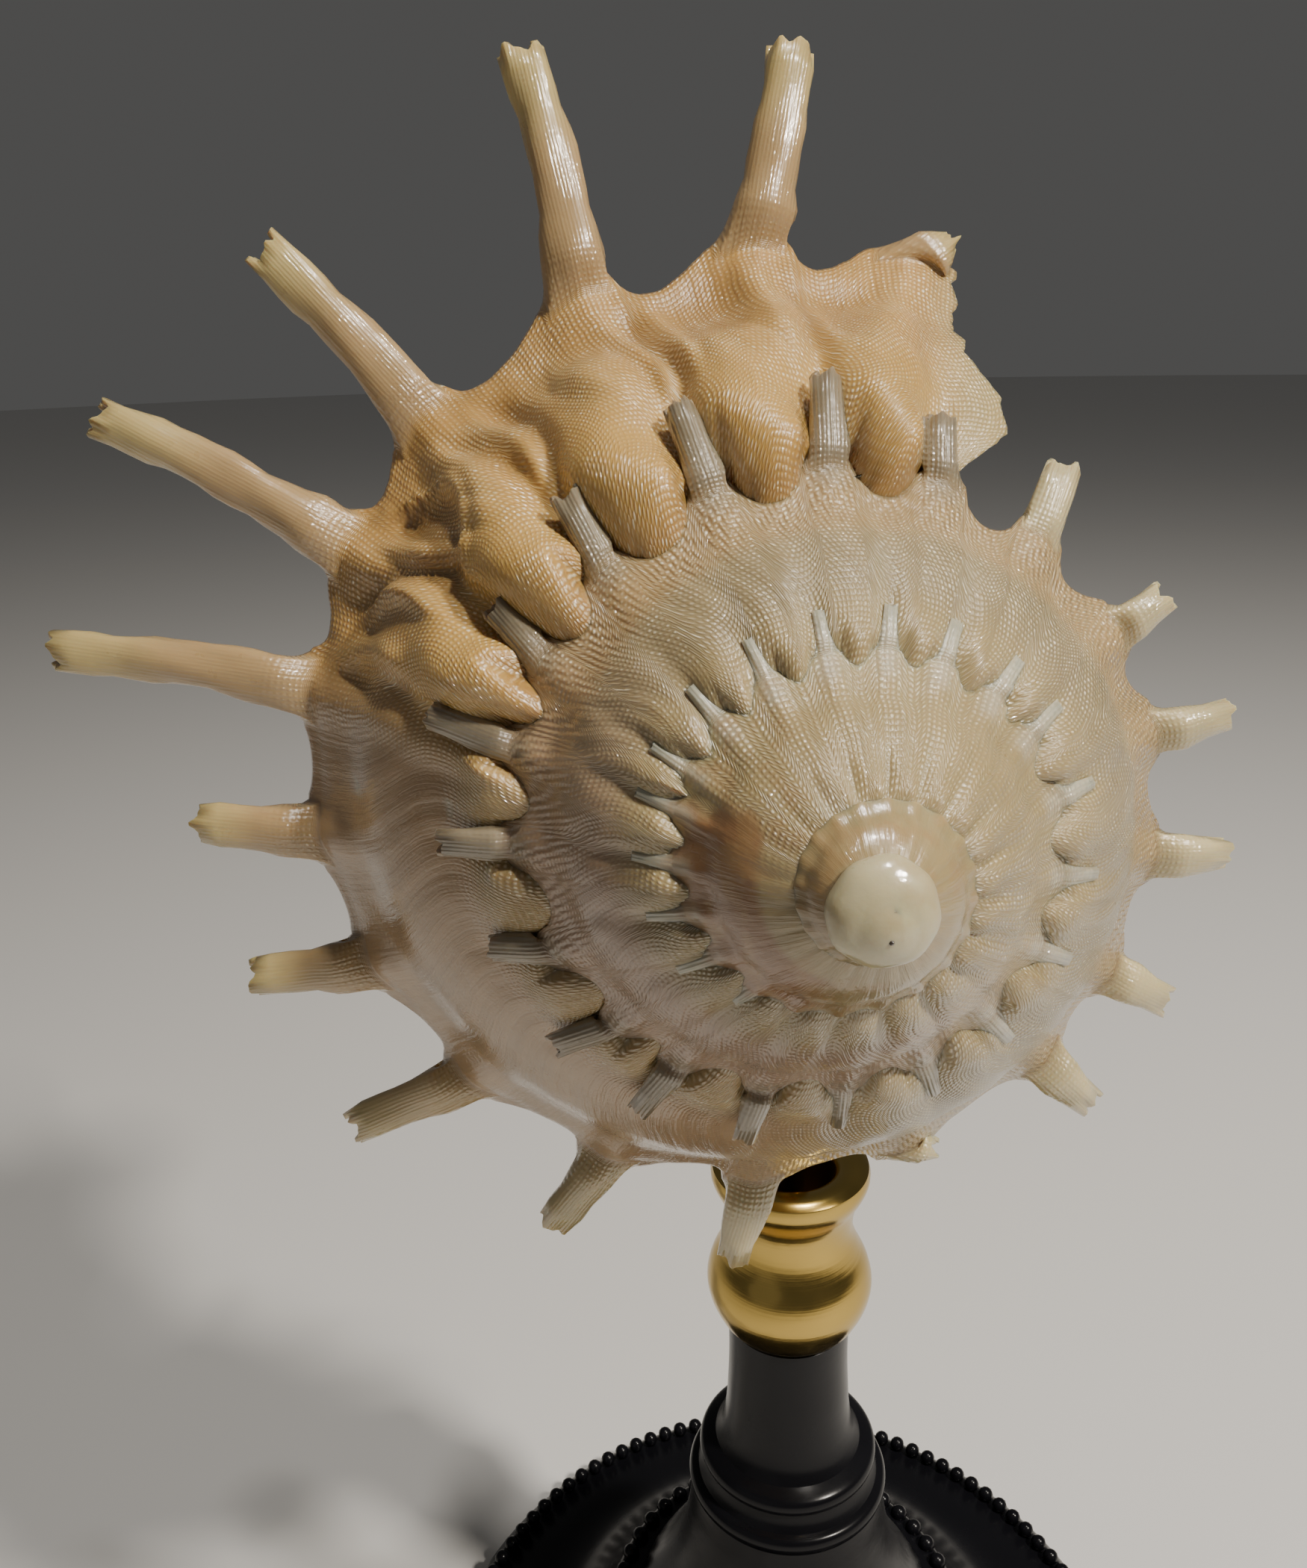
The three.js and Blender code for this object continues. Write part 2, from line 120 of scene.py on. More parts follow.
# Folds of the last part: height in mm, width in degrees, places along the face and growth angles there
folds = [
    (-0.8, 2.4, (0.78, 0.69, 0.46, 0.38), (1.2, 1.2, 1.2, 2.0)),
    (-1.1, 3.4, (0.86, 0.74, 0.6, 0.5), (-9.6, -9.6, -9.6, -9.0)),
    (-0.45, 1.0, (0.83, 0.72, 0.56, 0.36), (-14.8, -13.6, -13.4, -13.4)),
    (-0.3, 0.7, (0.5, 0.4, 0.28), (-17.6, -17.2, -18)),
    (-1.2, 4.6, (0.94, 0.82, 0.7, 0.58), (-24.6, -24.6, -24.4, -24.4)),
    (-0.35, 0.8, (0.7, 0.6, 0.44), (-28.6, -27.8, -28)),
    (-1.1, 1.2, (0.88, 0.72, 0.61, 0.5, 0.42, 0.33), (-34.2, -33.6, -32.6, -31.4, -30.8, -31.6)),
    (-0.5, 0.9, (0.74, 0.62, 0.5, 0.38), (-37.4, -36, -34.8, -34.6)),
    (-0.6, 3.0, (0.88, 0.8, 0.68), (-40.8, -40.8, -40.4)),
    (-1.2, 1.3, (0.88, 0.76, 0.65, 0.54, 0.45, 0.35), (-53.2, -52, -50.8, -50.2, -50.4, -51.4)),
    (-0.95, 1.2, (0.86, 0.72, 0.62, 0.52, 0.42, 0.32), (-60.2, -58.4, -57.2, -56, -55.4, -56)),
    (-1.25, 2.4, (0.9, 0.78, 0.66, 0.56, 0.46), (-71.4, -68.4, -66.6, -66.2, -67)),
    (-1.0, 1.4, (0.93, 0.81, 0.68, 0.58, 0.48, 0.38), (-83.2, -79.6, -75.6, -73.6, -71.6, -71.4)),
    (-0.65, 1.5, (0.91, 0.79, 0.69, 0.58, 0.46), (-87.6, -84, -81.2, -79.6, -78.2)),
    (-0.7, 1.8, (0.9, 0.75, 0.62, 0.48, 0.4), (-91.4, -89.2, -88, -88.6, -90)),
    (0.6, 2.0, (0.9, 0.78, 0.64, 0.52, 0.4), (-1.8, -2.8, -4, -5.6, -6.5)),
    (0.5, 1.2, (0.88, 0.66, 0.5, 0.4), (-11.6, -11.6, -11.2, -10)),
    (0.85, 1.7, (0.92, 0.78, 0.66, 0.54, 0.42, 0.3), (-20, -17.8, -17, -16.6, -16, -16.4)),
    (0.45, 1.5, (0.64, 0.5, 0.4), (-27, -26, -25)),
    (0.6, 0.9, (0.88, 0.66, 0.54, 0.42), (-31.4, -29.8, -29.2, -28.9)),
    (0.7, 0.9, (0.85, 0.72, 0.62, 0.52, 0.42), (-36.6, -35.2, -34, -32.8, -32.8)),
    (0.85, 2.6, (0.86, 0.7, 0.52, 0.4), (-44.4, -43.2, -41.8, -40.2)),
    (0.8, 1.5, (0.85, 0.72, 0.62, 0.5, 0.4), (-56.4, -54.8, -53.2, -52.6, -53.2)),
    (0.95, 2.2, (0.88, 0.75, 0.62, 0.5, 0.4), (-61.8, -60, -59.6, -60.8, -61.6)),
    (0.9, 0.9, (0.92, 0.81, 0.71, 0.61, 0.52, 0.43, 0.36), (-71, -66, -63.2, -62.6, -63.6, -66.4, -70)),
    (0.6, 1.5, (0.9, 0.79, 0.69, 0.58), (-76, -73.2, -72, -71.2)),
    (0.9, 1.2, (0.82, 0.7, 0.62, 0.5, 0.42), (-82, -78.8, -77.6, -76.6, -76.2)),
    (1.1, 1.8, (0.93, 0.8, 0.69, 0.58, 0.48), (-88.6, -86.8, -86, -85.2, -85.4)),
]
# Growth angles over which the whorl changes, from older to newer
ages = {
    "newestShape": (-99, -88),
    "smoothShape": (-215, -190),
    "lobes": (-800, -690),
    "waves": (-800, -700),
    "unpleated": (-22, -2),
    "lowLobes": (-1, 7),
    "lipBow": (-22, spiral["lip"]),
    "raggedLip": (2, spiral["lip"]),
    "newest": (-100, -88),
    "smooth": (-215, -180),
    "coarse": (-215, -185),
    # where the painted shade on the older whorls ends
    "lit": (-480, -405),
    "later": (-640, -560),
    "rust": (-802, -794, -915, -880),  # where it ends and where it starts
    "lipEdge": (-1, 9),
    "greyRoots": (-352, -340, -880, -840),
    "greyer": (-600, -560),
    "beads": (-830, -765),
    "mottled": (-790, -730),
    "mottledLess": (-1440, -1300),
    "cords": (-510, -450),
}

riseTurn, swingTurn = radians(spiral["rise"]), radians(spiral["swing"])
axis = Vector((
    sin(swingTurn) * cos(riseTurn),
    -cos(swingTurn) * cos(riseTurn),
    sin(riseTurn),
))
up = (Vector((0, 0, 1)) - axis * axis.z).normalized()
right = up.cross(axis)


def smooth(value, low, high):
    part = np.clip((np.asarray(value, float) - low) / (high - low), 0, 1)
    return part * part * (3 - 2 * part)


def fading(value, low, high):
    return 1 - smooth(value, low, high)


def since(angle, age):
    # 0 on older growth, 1 on newer
    return smooth(angle, *ages[age])


def within(angle, age):
    # 1 inside an age that has an end and a start
    low, high, startLow, startHigh = ages[age]
    return fading(angle, low, high) * smooth(angle, startLow, startHigh)


def hump(value, middle, width):
    return np.exp(-(((value - middle) / width) ** 2))


def wave(turns):
    return np.sin(2 * np.pi * turns)


def bridge(t, start, end, leave, arrive):
    # a smooth way with given slopes at its ends
    return (
        (2 * t**3 - 3 * t**2 + 1) * start + (t**3 - 2 * t**2 + t) * leave
        + (3 * t**2 - 2 * t**3) * end + (t**3 - t**2) * arrive
    )


def throughPoints(value, points):
    # a smooth curve through a few points (x, y), level past its ends
    xs, ys = np.array(sorted(points), float).T
    slopes = np.gradient(ys, xs)
    value = np.clip(value, xs[0], xs[-1])
    k = np.clip(np.searchsorted(xs, value) - 1, 0, len(xs) - 2)
    step = xs[k + 1] - xs[k]
    return bridge((value - xs[k]) / step, ys[k], ys[k + 1], step * slopes[k], step * slopes[k + 1])


def keelRadius(angle):
    turns = np.asarray(angle, float) / 360
    return spiral["keel"] * np.exp(spiral["growth"] * turns - spiral["fade"] * turns**2)


def edgeThickness(angle):
    return spiral["edge"] * keelRadius(angle) / spiral["keel"]


def travelled(angles, step=1.0):
    # how many steps along the keel each angle lies from the first, for a step of 1 mm or as given
    return np.concatenate([[0], np.cumsum(np.radians(np.diff(angles)) * keelRadius(angles[1:]) / step)])


def place(angle, out, depth):
    # growth angle, distance from the axis and depth below the apex, as points
    clock = np.radians(spiral["clock"] + np.asarray(angle, float))
    spot = (
        np.array(spiral["apex"])
        + (out * np.cos(clock))[..., None] * np.array(up)
        + (out * np.sin(clock))[..., None] * np.array(right)
        - (depth * np.ones_like(clock))[..., None] * np.array(axis)
    )
    return spot * mm


# Rays as numbers. Only the first ones are made, and the rest are marks for the relief.
rayAngles = list(np.cumsum([0.0] + [-gap for gap in rays["gaps"]]))
rayCount = len(rayAngles)
while rayAngles[-1] > spiral["start"] - rays["overrun"]:
    rayAngles.append(rayAngles[-1] - rays["innerGap"])
rayAngles = np.array(rayAngles)
rayKeels = keelRadius(rayAngles)
rayWhorls = np.searchsorted(rays["whorls"], np.arange(len(rayAngles)), side="right")


def byWhorl(name):
    return np.array(rays[name])[rayWhorls]


def readThenRule(name, rule):
    return np.concatenate([rays[name], rule[len(rays[name]):]])


def innerRule(name):
    return np.where(rayKeels > rays["innerKeel"], *rays[name])


rayLengths = readThenRule("lengths", innerRule("innerLength") * rayKeels)
rayLeans = readThenRule("leans", 0 * rayKeels)
webDepths = readThenRule("webs", innerRule("innerWeb") * smooth(rayKeels, 6, 9))
rayWidths = byWhorl("width") * rayKeels
rayDrops = byWhorl("drop")
raySinks = byWhorl("sink") * rayWidths / 2
rootTurns = np.degrees(byWhorl("rootHalf") * rayWidths / rayKeels)
flares = byWhorl("flare")
flareReaches = byWhorl("flareReach")
# Where the middle of each ray lies over the next whorl's face
leanShift = np.degrees(0.6 * rayLengths * np.sin(np.radians(rayLeans)) / (1.1 * rayKeels))
overAngles = rayAngles + 360 + leanShift
ownMarks = np.concatenate([[40, 20], rayAngles])


def phase(angle, marks):
    # a number that grows by 1 from each mark to the next older one
    return np.interp(-angle, -marks, np.arange(len(marks)))


def keelEdge(angle):
    # where the keel lies along the face: 1 at a ray, less between two
    i = np.clip(np.searchsorted(-rayAngles, -angle, side="right") - 1, 0, len(rayAngles) - 2)
    halfRoot, turn = rootTurns[i], rays["webTurn"]
    gap = rayAngles[i] - rayAngles[i + 1]
    part = np.clip((rayAngles[i] - angle - halfRoot) / (gap - 2 * halfRoot), 0, 1)
    slanted = np.where(part < turn, np.sin(np.pi / 2 * np.minimum(part / turn, 1)) ** 1.5,
                       np.sqrt(np.clip(1 - ((part - turn) / (1 - turn)) ** 2, 0, 1)))
    even = np.sin(np.pi * part**1.1) ** 0.35
    edge = 1 - webDepths[i] * np.where(rayWhorls[i] == 0, slanted, even)
    keel = keelRadius(angle)
    size = keel / spiral["keel"]
    flare = 0
    for near in (rayAngles[i] - angle, angle - rayAngles[i + 1]):
        past = np.clip(np.radians(near - halfRoot), 0, None) * keel
        flare = flare + np.exp(-past / (flareReaches[i] * size**0.8))
    flare = np.minimum(flare, 1) * flares[i] * size**0.35 * smooth(keel, 7.5, 12)
    return edge + flare / faceWidth(angle)


def foldHeight(angle, along):
    total = np.zeros_like(angle)
    tall, wide = relief["foldSize"]
    for height, width, places, angles in folds:
        low, high = min(places), max(places)
        ends = smooth(along, low - 0.09, low + 0.08) * fading(along, high - 0.09, high + 0.06)
        total += tall * height * ends * hump(angle, throughPoints(along, zip(places, angles)), wide * width)
    return total


def growthBow(along):
    size, middle, width = relief["bow"]
    return size * hump(along, middle, width)


def faceWidth(angle):
    return (keelRadius(angle) - keelRadius(angle - 360)) * hypot(1, spiral["cone"])


def clearance(angle, along):
    # mm from the keel of the whorl before
    return along * faceWidth(angle) - (keelEdge(angle - 360) - 1) * faceWidth(angle - 360)


def lobeHeight(angle, along, newest, smoother, old):
    outer = keelRadius(angle)
    crest = throughPoints(along, relief["lobeCrest"])
    share = phase(angle, overAngles) % 1
    between = share ** (np.log(0.5) / np.log(crest))
    aside = np.abs(2 * between - 1)
    steep, gentle = relief["padRadius"]
    clear = clearance(angle, along) / ((steep + (gentle - steep) * smooth(between, 0.25, 0.95)) * outer)
    pad = (1 - aside**2) ** 0.9 * np.sqrt(np.clip(1 - (1 - np.clip(clear, 0, 1)) ** 2, 0, 1))
    pad *= smooth(share, 0.0, relief["padSides"][0]) * smooth(1 - share, 0.0, relief["padSides"][1])
    lobes = 0
    parts = (newest * (1 - 0.75 * since(angle, "lowLobes")), smoother, old * since(angle, "lobes"))
    for part, (height, loss, lossAt, endAt) in zip(parts, relief["lobes"]):
        lobes = lobes + height * part * (1 - loss * smooth(along, *lossAt)) * fading(along, *endAt)
    valley = (1 - (1 - aside**2.2) ** 0.8) * fading(along, 0.2, 0.42) * (newest + 0.6 * (1 - newest))
    return outer * (pad * lobes - relief["valley"] * valley)


def reliefHeight(angle, along):
    # height of the sculpture over the plain face, in mm
    outer = keelRadius(angle)
    newest = since(angle, "newestShape")
    smoother = since(angle, "smoothShape") * (1 - newest)
    old = 1 - newest - smoother
    own = phase(angle, ownMarks) % 1
    ridge = relief["ridge"] * hump(np.minimum(own, 1 - own), 0, 0.19) * smooth(along, 0.62, 0.97)
    hollow = relief["hollow"] * np.sin(np.pi * own) ** 2 * hump(along, 0.72, 0.15)
    hollow *= 0.45 * newest + 0.35 * old
    growth = phase(angle - growthBow(along), ownMarks)
    waves = wave(2.6 * growth + 0.4 * np.sin(3.1 * growth))
    waves *= smooth(along, 0.12, 0.3) * fading(along, 0.66, 0.85)
    waves *= relief["oldWave"] * old * since(angle, "waves") + relief["smoothWave"] * smoother
    wrinkles = wave(7.3 * growth + 0.9 * np.sin(2.3 * growth)) * newest * smooth(along, 0.3, 0.5)
    crooked = 0.45 * np.sin(2.1 * growth) + 0.12 * np.sin(9 * along)
    pleats = np.abs(np.sin(np.pi * (relief["pleats"] * growth + crooked))) ** 0.8 - 0.6
    pleats *= relief["pleatHeight"] * (0.6 + 0.4 * np.sin(4.3 * growth + 3 * along))
    pleats *= newest * (1 - since(angle, "unpleated")) * smooth(along, 0.3, 0.46) * fading(along, 0.8, 0.95)
    low = outer * (ridge - hollow + waves + relief["wrinkle"] * wrinkles)
    return lobeHeight(angle, along, newest, smoother, old) + low + pleats + foldHeight(angle, along)


def facePoint(angle, along, lift=0.0):
    outer, inner = keelRadius(angle), keelRadius(angle - 360)
    cone = spiral["cone"]
    dip, middle, width = spiral["dip"]
    crown = spiral["bulge"] * np.sin(np.pi * np.clip(along, 0, 1)) - dip * hump(along, middle, width)
    off = lift + reliefHeight(angle, along) + crown * faceWidth(angle)
    plain = inner + (outer - inner) * along
    slope = atan(cone)
    tuck = relief["tuck"] * outer * (0.35 + 0.65 * smooth(outer, 22, 34))
    off = off - tuck * fading(clearance(angle, along) / (outer / spiral["keel"]), -1.4, 0.9)
    return plain + off * sin(slope), cone * plain - off * cos(slope)


def lipLead(angle, along):
    # how far the lip runs ahead of the first ray
    size, middle, width = relief["lipBow"]
    ahead = size * hump(along, middle, width) * since(angle, "lipBow")
    ragged = 0.35 * np.sin(31 * along + 1) + 0.25 * np.sin(53 * along) + 0.15 * np.sin(97 * along + 2)
    return ahead + ragged * since(angle, "raggedLip") * fading(along, 0.93, 1)


# The net of the face
net = {
    "step": 0.43,  # mm between two columns
    "newestLess": (0.03, -110, -90),  # less by this, from one growth angle to the other
    "oldestLess": (0.1, 560, 700),
    "rows": [(-0.19, 0, 5), (0, 0.88, 32), (0.88, 1, 6)],  # the first under the whorl before
    "bendFrom": 0.62,  # the rows past it bend with the edge of the keel
}
hiddenRows = net["rows"][0][2]


def growthSteps():
    # growth angles at equal steps along the keel, closer where the sculpture is fine
    fine = np.linspace(spiral["start"], spiral["lip"], 40001)
    less, low, high = net["newestLess"]
    oldLess, oldLow, oldHigh = net["oldestLess"]
    step = net["step"] - less * smooth(fine, low, high) - oldLess * smooth(-fine, oldLow, oldHigh)
    count = travelled(fine, step[1:])
    return np.interp(np.linspace(0, count[-1], int(count[-1]) + 1), count, fine)


columns = growthSteps()
faceRows = [np.linspace(low, high, steps + 1)[:-1] for low, high, steps in net["rows"]]
faceRows = np.concatenate(faceRows + [[1]])
# The rounded edge of the keel: out and depth in edge thicknesses
edgeRows = [(0.18, 0.45), (-0.25, 0.95), (-1.3, 1.2), (-2.9, 1.3)]
print("columns", len(columns), "rows", len(faceRows) + len(edgeRows))


def gridOf(bm, columnCount, rowCount):
    # a plain net of quads, as a table of vertices by column and row
    made = bmesh.ops.create_grid(bm, x_segments=columnCount - 1, y_segments=rowCount - 1, size=1)["verts"]
    table = [[None] * rowCount for _ in range(columnCount)]
    for v in made:
        table[round((v.co.x + 1) / 2 * (columnCount - 1))][round((v.co.y + 1) / 2 * (rowCount - 1))] = v
    return table


def setVertex(v, spot, layers, values):
    v.co = spot
    for layer, value in zip(layers, values):
        v[layer] = value


def setNet(table, spots, layers, values):
    values = [np.broadcast_to(value, spots.shape[:2]) for value in values]
    for i, column in enumerate(table):
        for j, v in enumerate(column):
            setVertex(v, spots[i, j], layers, [value[i, j] for value in values])


def keelSpots(angle, thickness):
    out, depth = facePoint(angle, keelEdge(angle))
    return [(out + o * thickness, depth + d * thickness) for o, d in edgeRows]


def bentRow(angle, row):
    return row - (1 - keelEdge(angle)) * smooth(row, net["bendFrom"], 1)


def faceNet():
    angle = np.repeat(columns[:, None], len(faceRows), 1)
    row = np.repeat(faceRows[None, :], len(columns), 0)
    along = bentRow(angle, row)
    angle = angle + lipLead(angle, row)
    out, depth = facePoint(angle, along)
    thickness = edgeThickness(columns)
    underOut, underDepth = np.array(keelSpots(columns, thickness)).transpose(1, 2, 0)
    past = np.abs([o for o, d in edgeRows]) * thickness[:, None]
    width = (keelRadius(columns) - keelRadius(columns - 360))[:, None]
    underAlong = keelEdge(columns)[:, None] - past / width
    under = (columns[:, None] + 0 * underOut, underAlong, underOut, underDepth)
    return [np.concatenate(pair, 1) for pair in zip((angle, along, out, depth), under)]


# The underside, as curves from the keel over the base and up the wall of the umbilicus
base = {
    "rows": 27,
    "ends": -384,  # growth angle
    "knots": (0, 0.2, 0.5, 0.72, 0.82, 0.91, 1.0),  # the wall of the umbilicus starts at the fourth
    "outs": (0.78, 0.5, 0.27, 0.19, 0.165, 0.142),  # of the keel radius, at the knots past the first
    "depths": (1.115, 1.175, 1.165, 1.06, 0.9, 0.596),
    "setBack": 42,  # degrees that the lower lip lies behind
    "columellaBack": 9,
    "setBackFrom": -150,
    "ribs": 4.5,  # wavy riblets between two rays
    "ribHeight": 0.13,
    "ribSway": 5,
}
baseParts = np.linspace(0, 1, base["rows"]) ** 0.95


def baseCurve(angle, part, first):
    knots = base["knots"]
    last = len(knots) - 1
    k = min(int(np.searchsorted(knots, part, side="right")) - 1, last - 1)
    step = knots[k + 1] - knots[k]
    found = []
    for start, name in zip(first, ("outs", "depths")):
        values = [start] + [share * keelRadius(angle) for share in base[name]]
        slopes = []
        for at in (k, k + 1):
            before, after = max(at - 1, 0), min(at + 1, last)
            slopes.append(step * (values[after] - values[before]) / (knots[after] - knots[before]))
        found.append(bridge((part - knots[k]) / step, values[k], values[k + 1], *slopes))
    return found


def setBackOf(part):
    across = np.sin(np.pi * np.clip((part - 0.06) / 0.71, 0, 1))
    return base["setBack"] * across**1.3 + base["columellaBack"] * smooth(part, 0.06, 0.35)


def baseNet(angles):
    table = []
    for part in baseParts:
        angle = angles - setBackOf(part) * smooth(angles, base["setBackFrom"], spiral["lip"])
        first = keelSpots(angle if part > 0 else angles, edgeThickness(angles))[-1]
        out, depth = baseCurve(angle, part, first)
        sway = base["ribSway"] * wave(part * 1.1)
        ribs = base["ribHeight"] * wave(base["ribs"] * phase(angle - sway, ownMarks))
        table.append((angle, out, depth + ribs * smooth(part, 0.02, 0.12) * fading(part, 0.66, 0.8)))
    angle, out, depth = (np.stack([row[k] for row in table], 1) for k in range(3))
    return angle, 1 - baseParts, out, depth


# The inside of the last part of the whorl, with outs and depths in parts of the keel radius
mouth = {
    "wall": 1.3,
    "keelWall": (1.6, 0.45),  # the wall at the keel, outwards and in depth
    "keelWallMore": (0.3, 0.2),  # for each row further under
    "cornerWall": 2.5,
    "deepest": -205,  # growth angle
    "columns": 84,
    "columella": ((0.29, 0.25, 0.255), (1.11, 0.97, 0.8)),
    "parietal": [(0.3, 0.735), (0.38, 0.7), (0.48, 0.688), (0.54, 0.665)],
    "parietalFront": -10,
    "parietalRise": 0.035,
    "heart": (0.62, 0.95),  # middle of the hollow, to which it narrows
    "narrow": 0.45,
}


def roofRow(angle, thin, row):
    return facePoint(angle, bentRow(angle, row) - 0.02 * thin * row, -mouth["wall"] * thin)


def cornerRow(angle, thin, k):
    out, depth = keelSpots(angle, edgeThickness(angle))[k]
    wallOut, wallDepth = (wall + k * more for wall, more in zip(mouth["keelWall"], mouth["keelWallMore"]))
    return out - wallOut * thin, depth - wallDepth * thin


def floorRow(angle, thin, part):
    out, depth = baseCurve(angle, part, keelSpots(angle, edgeThickness(angle))[-1])
    wallEnd = base["knots"][3]
    if part <= wallEnd:
        return out - mouth["cornerWall"] * thin * fading(part, 0, 0.14), depth - mouth["wall"] * thin
    inner = baseParts[baseParts > wallEnd]
    at = (part - inner[0]) / (inner[-1] - inner[0]) * 2
    toOut, toDepth = (keelRadius(angle) * np.interp(at, [0, 1, 2], course) for course in mouth["columella"])
    return out + (toOut - out) * thin, depth + (toDepth - depth) * thin


def parietalRow(angle, thin, spot):
    keel = keelRadius(angle)
    return spot[0] * keel, (spot[1] - mouth["parietalRise"] * (1 - thin)) * keel


def mouthNet():
    # roof, keel, floor, columella and the whorl before, as closed loops
    lip, deepest = spiral["lip"], mouth["deepest"]
    rows = [(roofRow, lip + lipLead(np.array([lip]), np.array([s]))[0], s) for s in faceRows[hiddenRows:]]
    rows += [(cornerRow, lip, k) for k in range(len(edgeRows))]
    rows += [(floorRow, lip - setBackOf(part), part) for part in baseParts[1:]]
    rows += [(parietalRow, mouth["parietalFront"], spot) for spot in mouth["parietal"]]
    loops = []
    for section, front, where in rows:
        angle = front + (deepest - front) * np.linspace(0, 1, mouth["columns"]) ** 1.5
        thin = np.sqrt(np.clip((front - angle) / 3.5, 0, 1))
        narrow = 1 - mouth["narrow"] * smooth(-angle, 150, -deepest)
        spot = [angle]
        for value, heart in zip(section(angle, thin, where), mouth["heart"]):
            heart = heart * keelRadius(angle)
            spot.append(heart + (value - heart) * narrow)
        loops.append(spot)
    loops.append(loops[0])
    return (np.stack([row[k] for row in loops], 1) for k in range(3))


def makeMouth(bm, face, below, layers):
    angle, out, depth = mouthNet()
    table = gridOf(bm, *angle.shape)
    setNet(table, place(angle, out, depth), layers, (angle, 0.5, 0, 0, 2, 0))
    lipEdge = face[-1][hiddenRows:] + below[-1][1:]
    targets = {column[-1]: column[0] for column in table[1:]}
    targets.update(zip(table[0], lipEdge))
    targets[table[0][-1]] = lipEdge[0]
    end = table[-1][:-1]
    bmesh.ops.weld_verts(bm, targetmap=targets)
    bmesh.ops.edgeloop_fill(bm, edges=edgesOf(bm, end))


def edgesOf(bm, loop):
    return [bm.edges.get(pair) for pair in zip(loop, loop[1:] + loop[:1])]


def rayFrame(i, distance):
    # middle and directions of a ray, some mm past the keel
    clock = radians(spiral["clock"] + rayAngles[i])
    outward = up * cos(clock) + right * sin(clock)
    forward = right * cos(clock) - up * sin(clock)
    bend = -radians(rays["curl"])
    start = radians(rayLeans[i]) - bend * rayLengths[i] / 2
    turn = start + bend * distance
    keel = rayKeels[i]
    foot = Vector(place(rayAngles[i], keel, spiral["cone"] * keel + rayDrops[i] * distance + raySinks[i]))
    bent = outward * (sin(turn) - sin(start)) + forward * (cos(start) - cos(turn))
    side = forward * cos(turn) - outward * sin(turn)
    ahead = outward * cos(turn) + forward * sin(turn)
    return foot + bent * (mm / bend), side, ahead


def rayPatch(i, table):
    # the patch of the keel that a ray grows from, its rim, and the turn round the ray of each rim vertex
    inside = np.nonzero(np.abs(columns - rayAngles[i]) <= rootTurns[i])[0]
    c0, c1 = int(inside[0]), int(inside[-1])
    r0 = len(faceRows) - 1 - (3 if rayWidths[i] > 2 else 2)
    r1 = len(faceRows) + 2
    patch = {v for c in range(c0, c1 + 1) for v in table[c][r0:r1 + 1]}
    faces = {f for v in patch for f in v.link_faces if all(w in patch for w in f.verts)}
    rim = [table[c][r0] for c in range(c0, c1 + 1)] + [table[c1][r] for r in range(r0 + 1, r1 + 1)]
    rim += [table[c][r1] for c in range(c1 - 1, c0 - 1, -1)] + [table[c0][r] for r in range(r1 - 1, r0, -1)]
    corners = (158, 22, -22, -158, -202)  # over the top, down one side, back below and up the other side
    turns = [radians(corners[0])]
    for k, steps in enumerate((c1 - c0, r1 - r0) * 2):
        turns += list(np.radians(np.linspace(corners[k], corners[k + 1], steps + 1)[1:]))
    return faces, rim, turns[:-1]


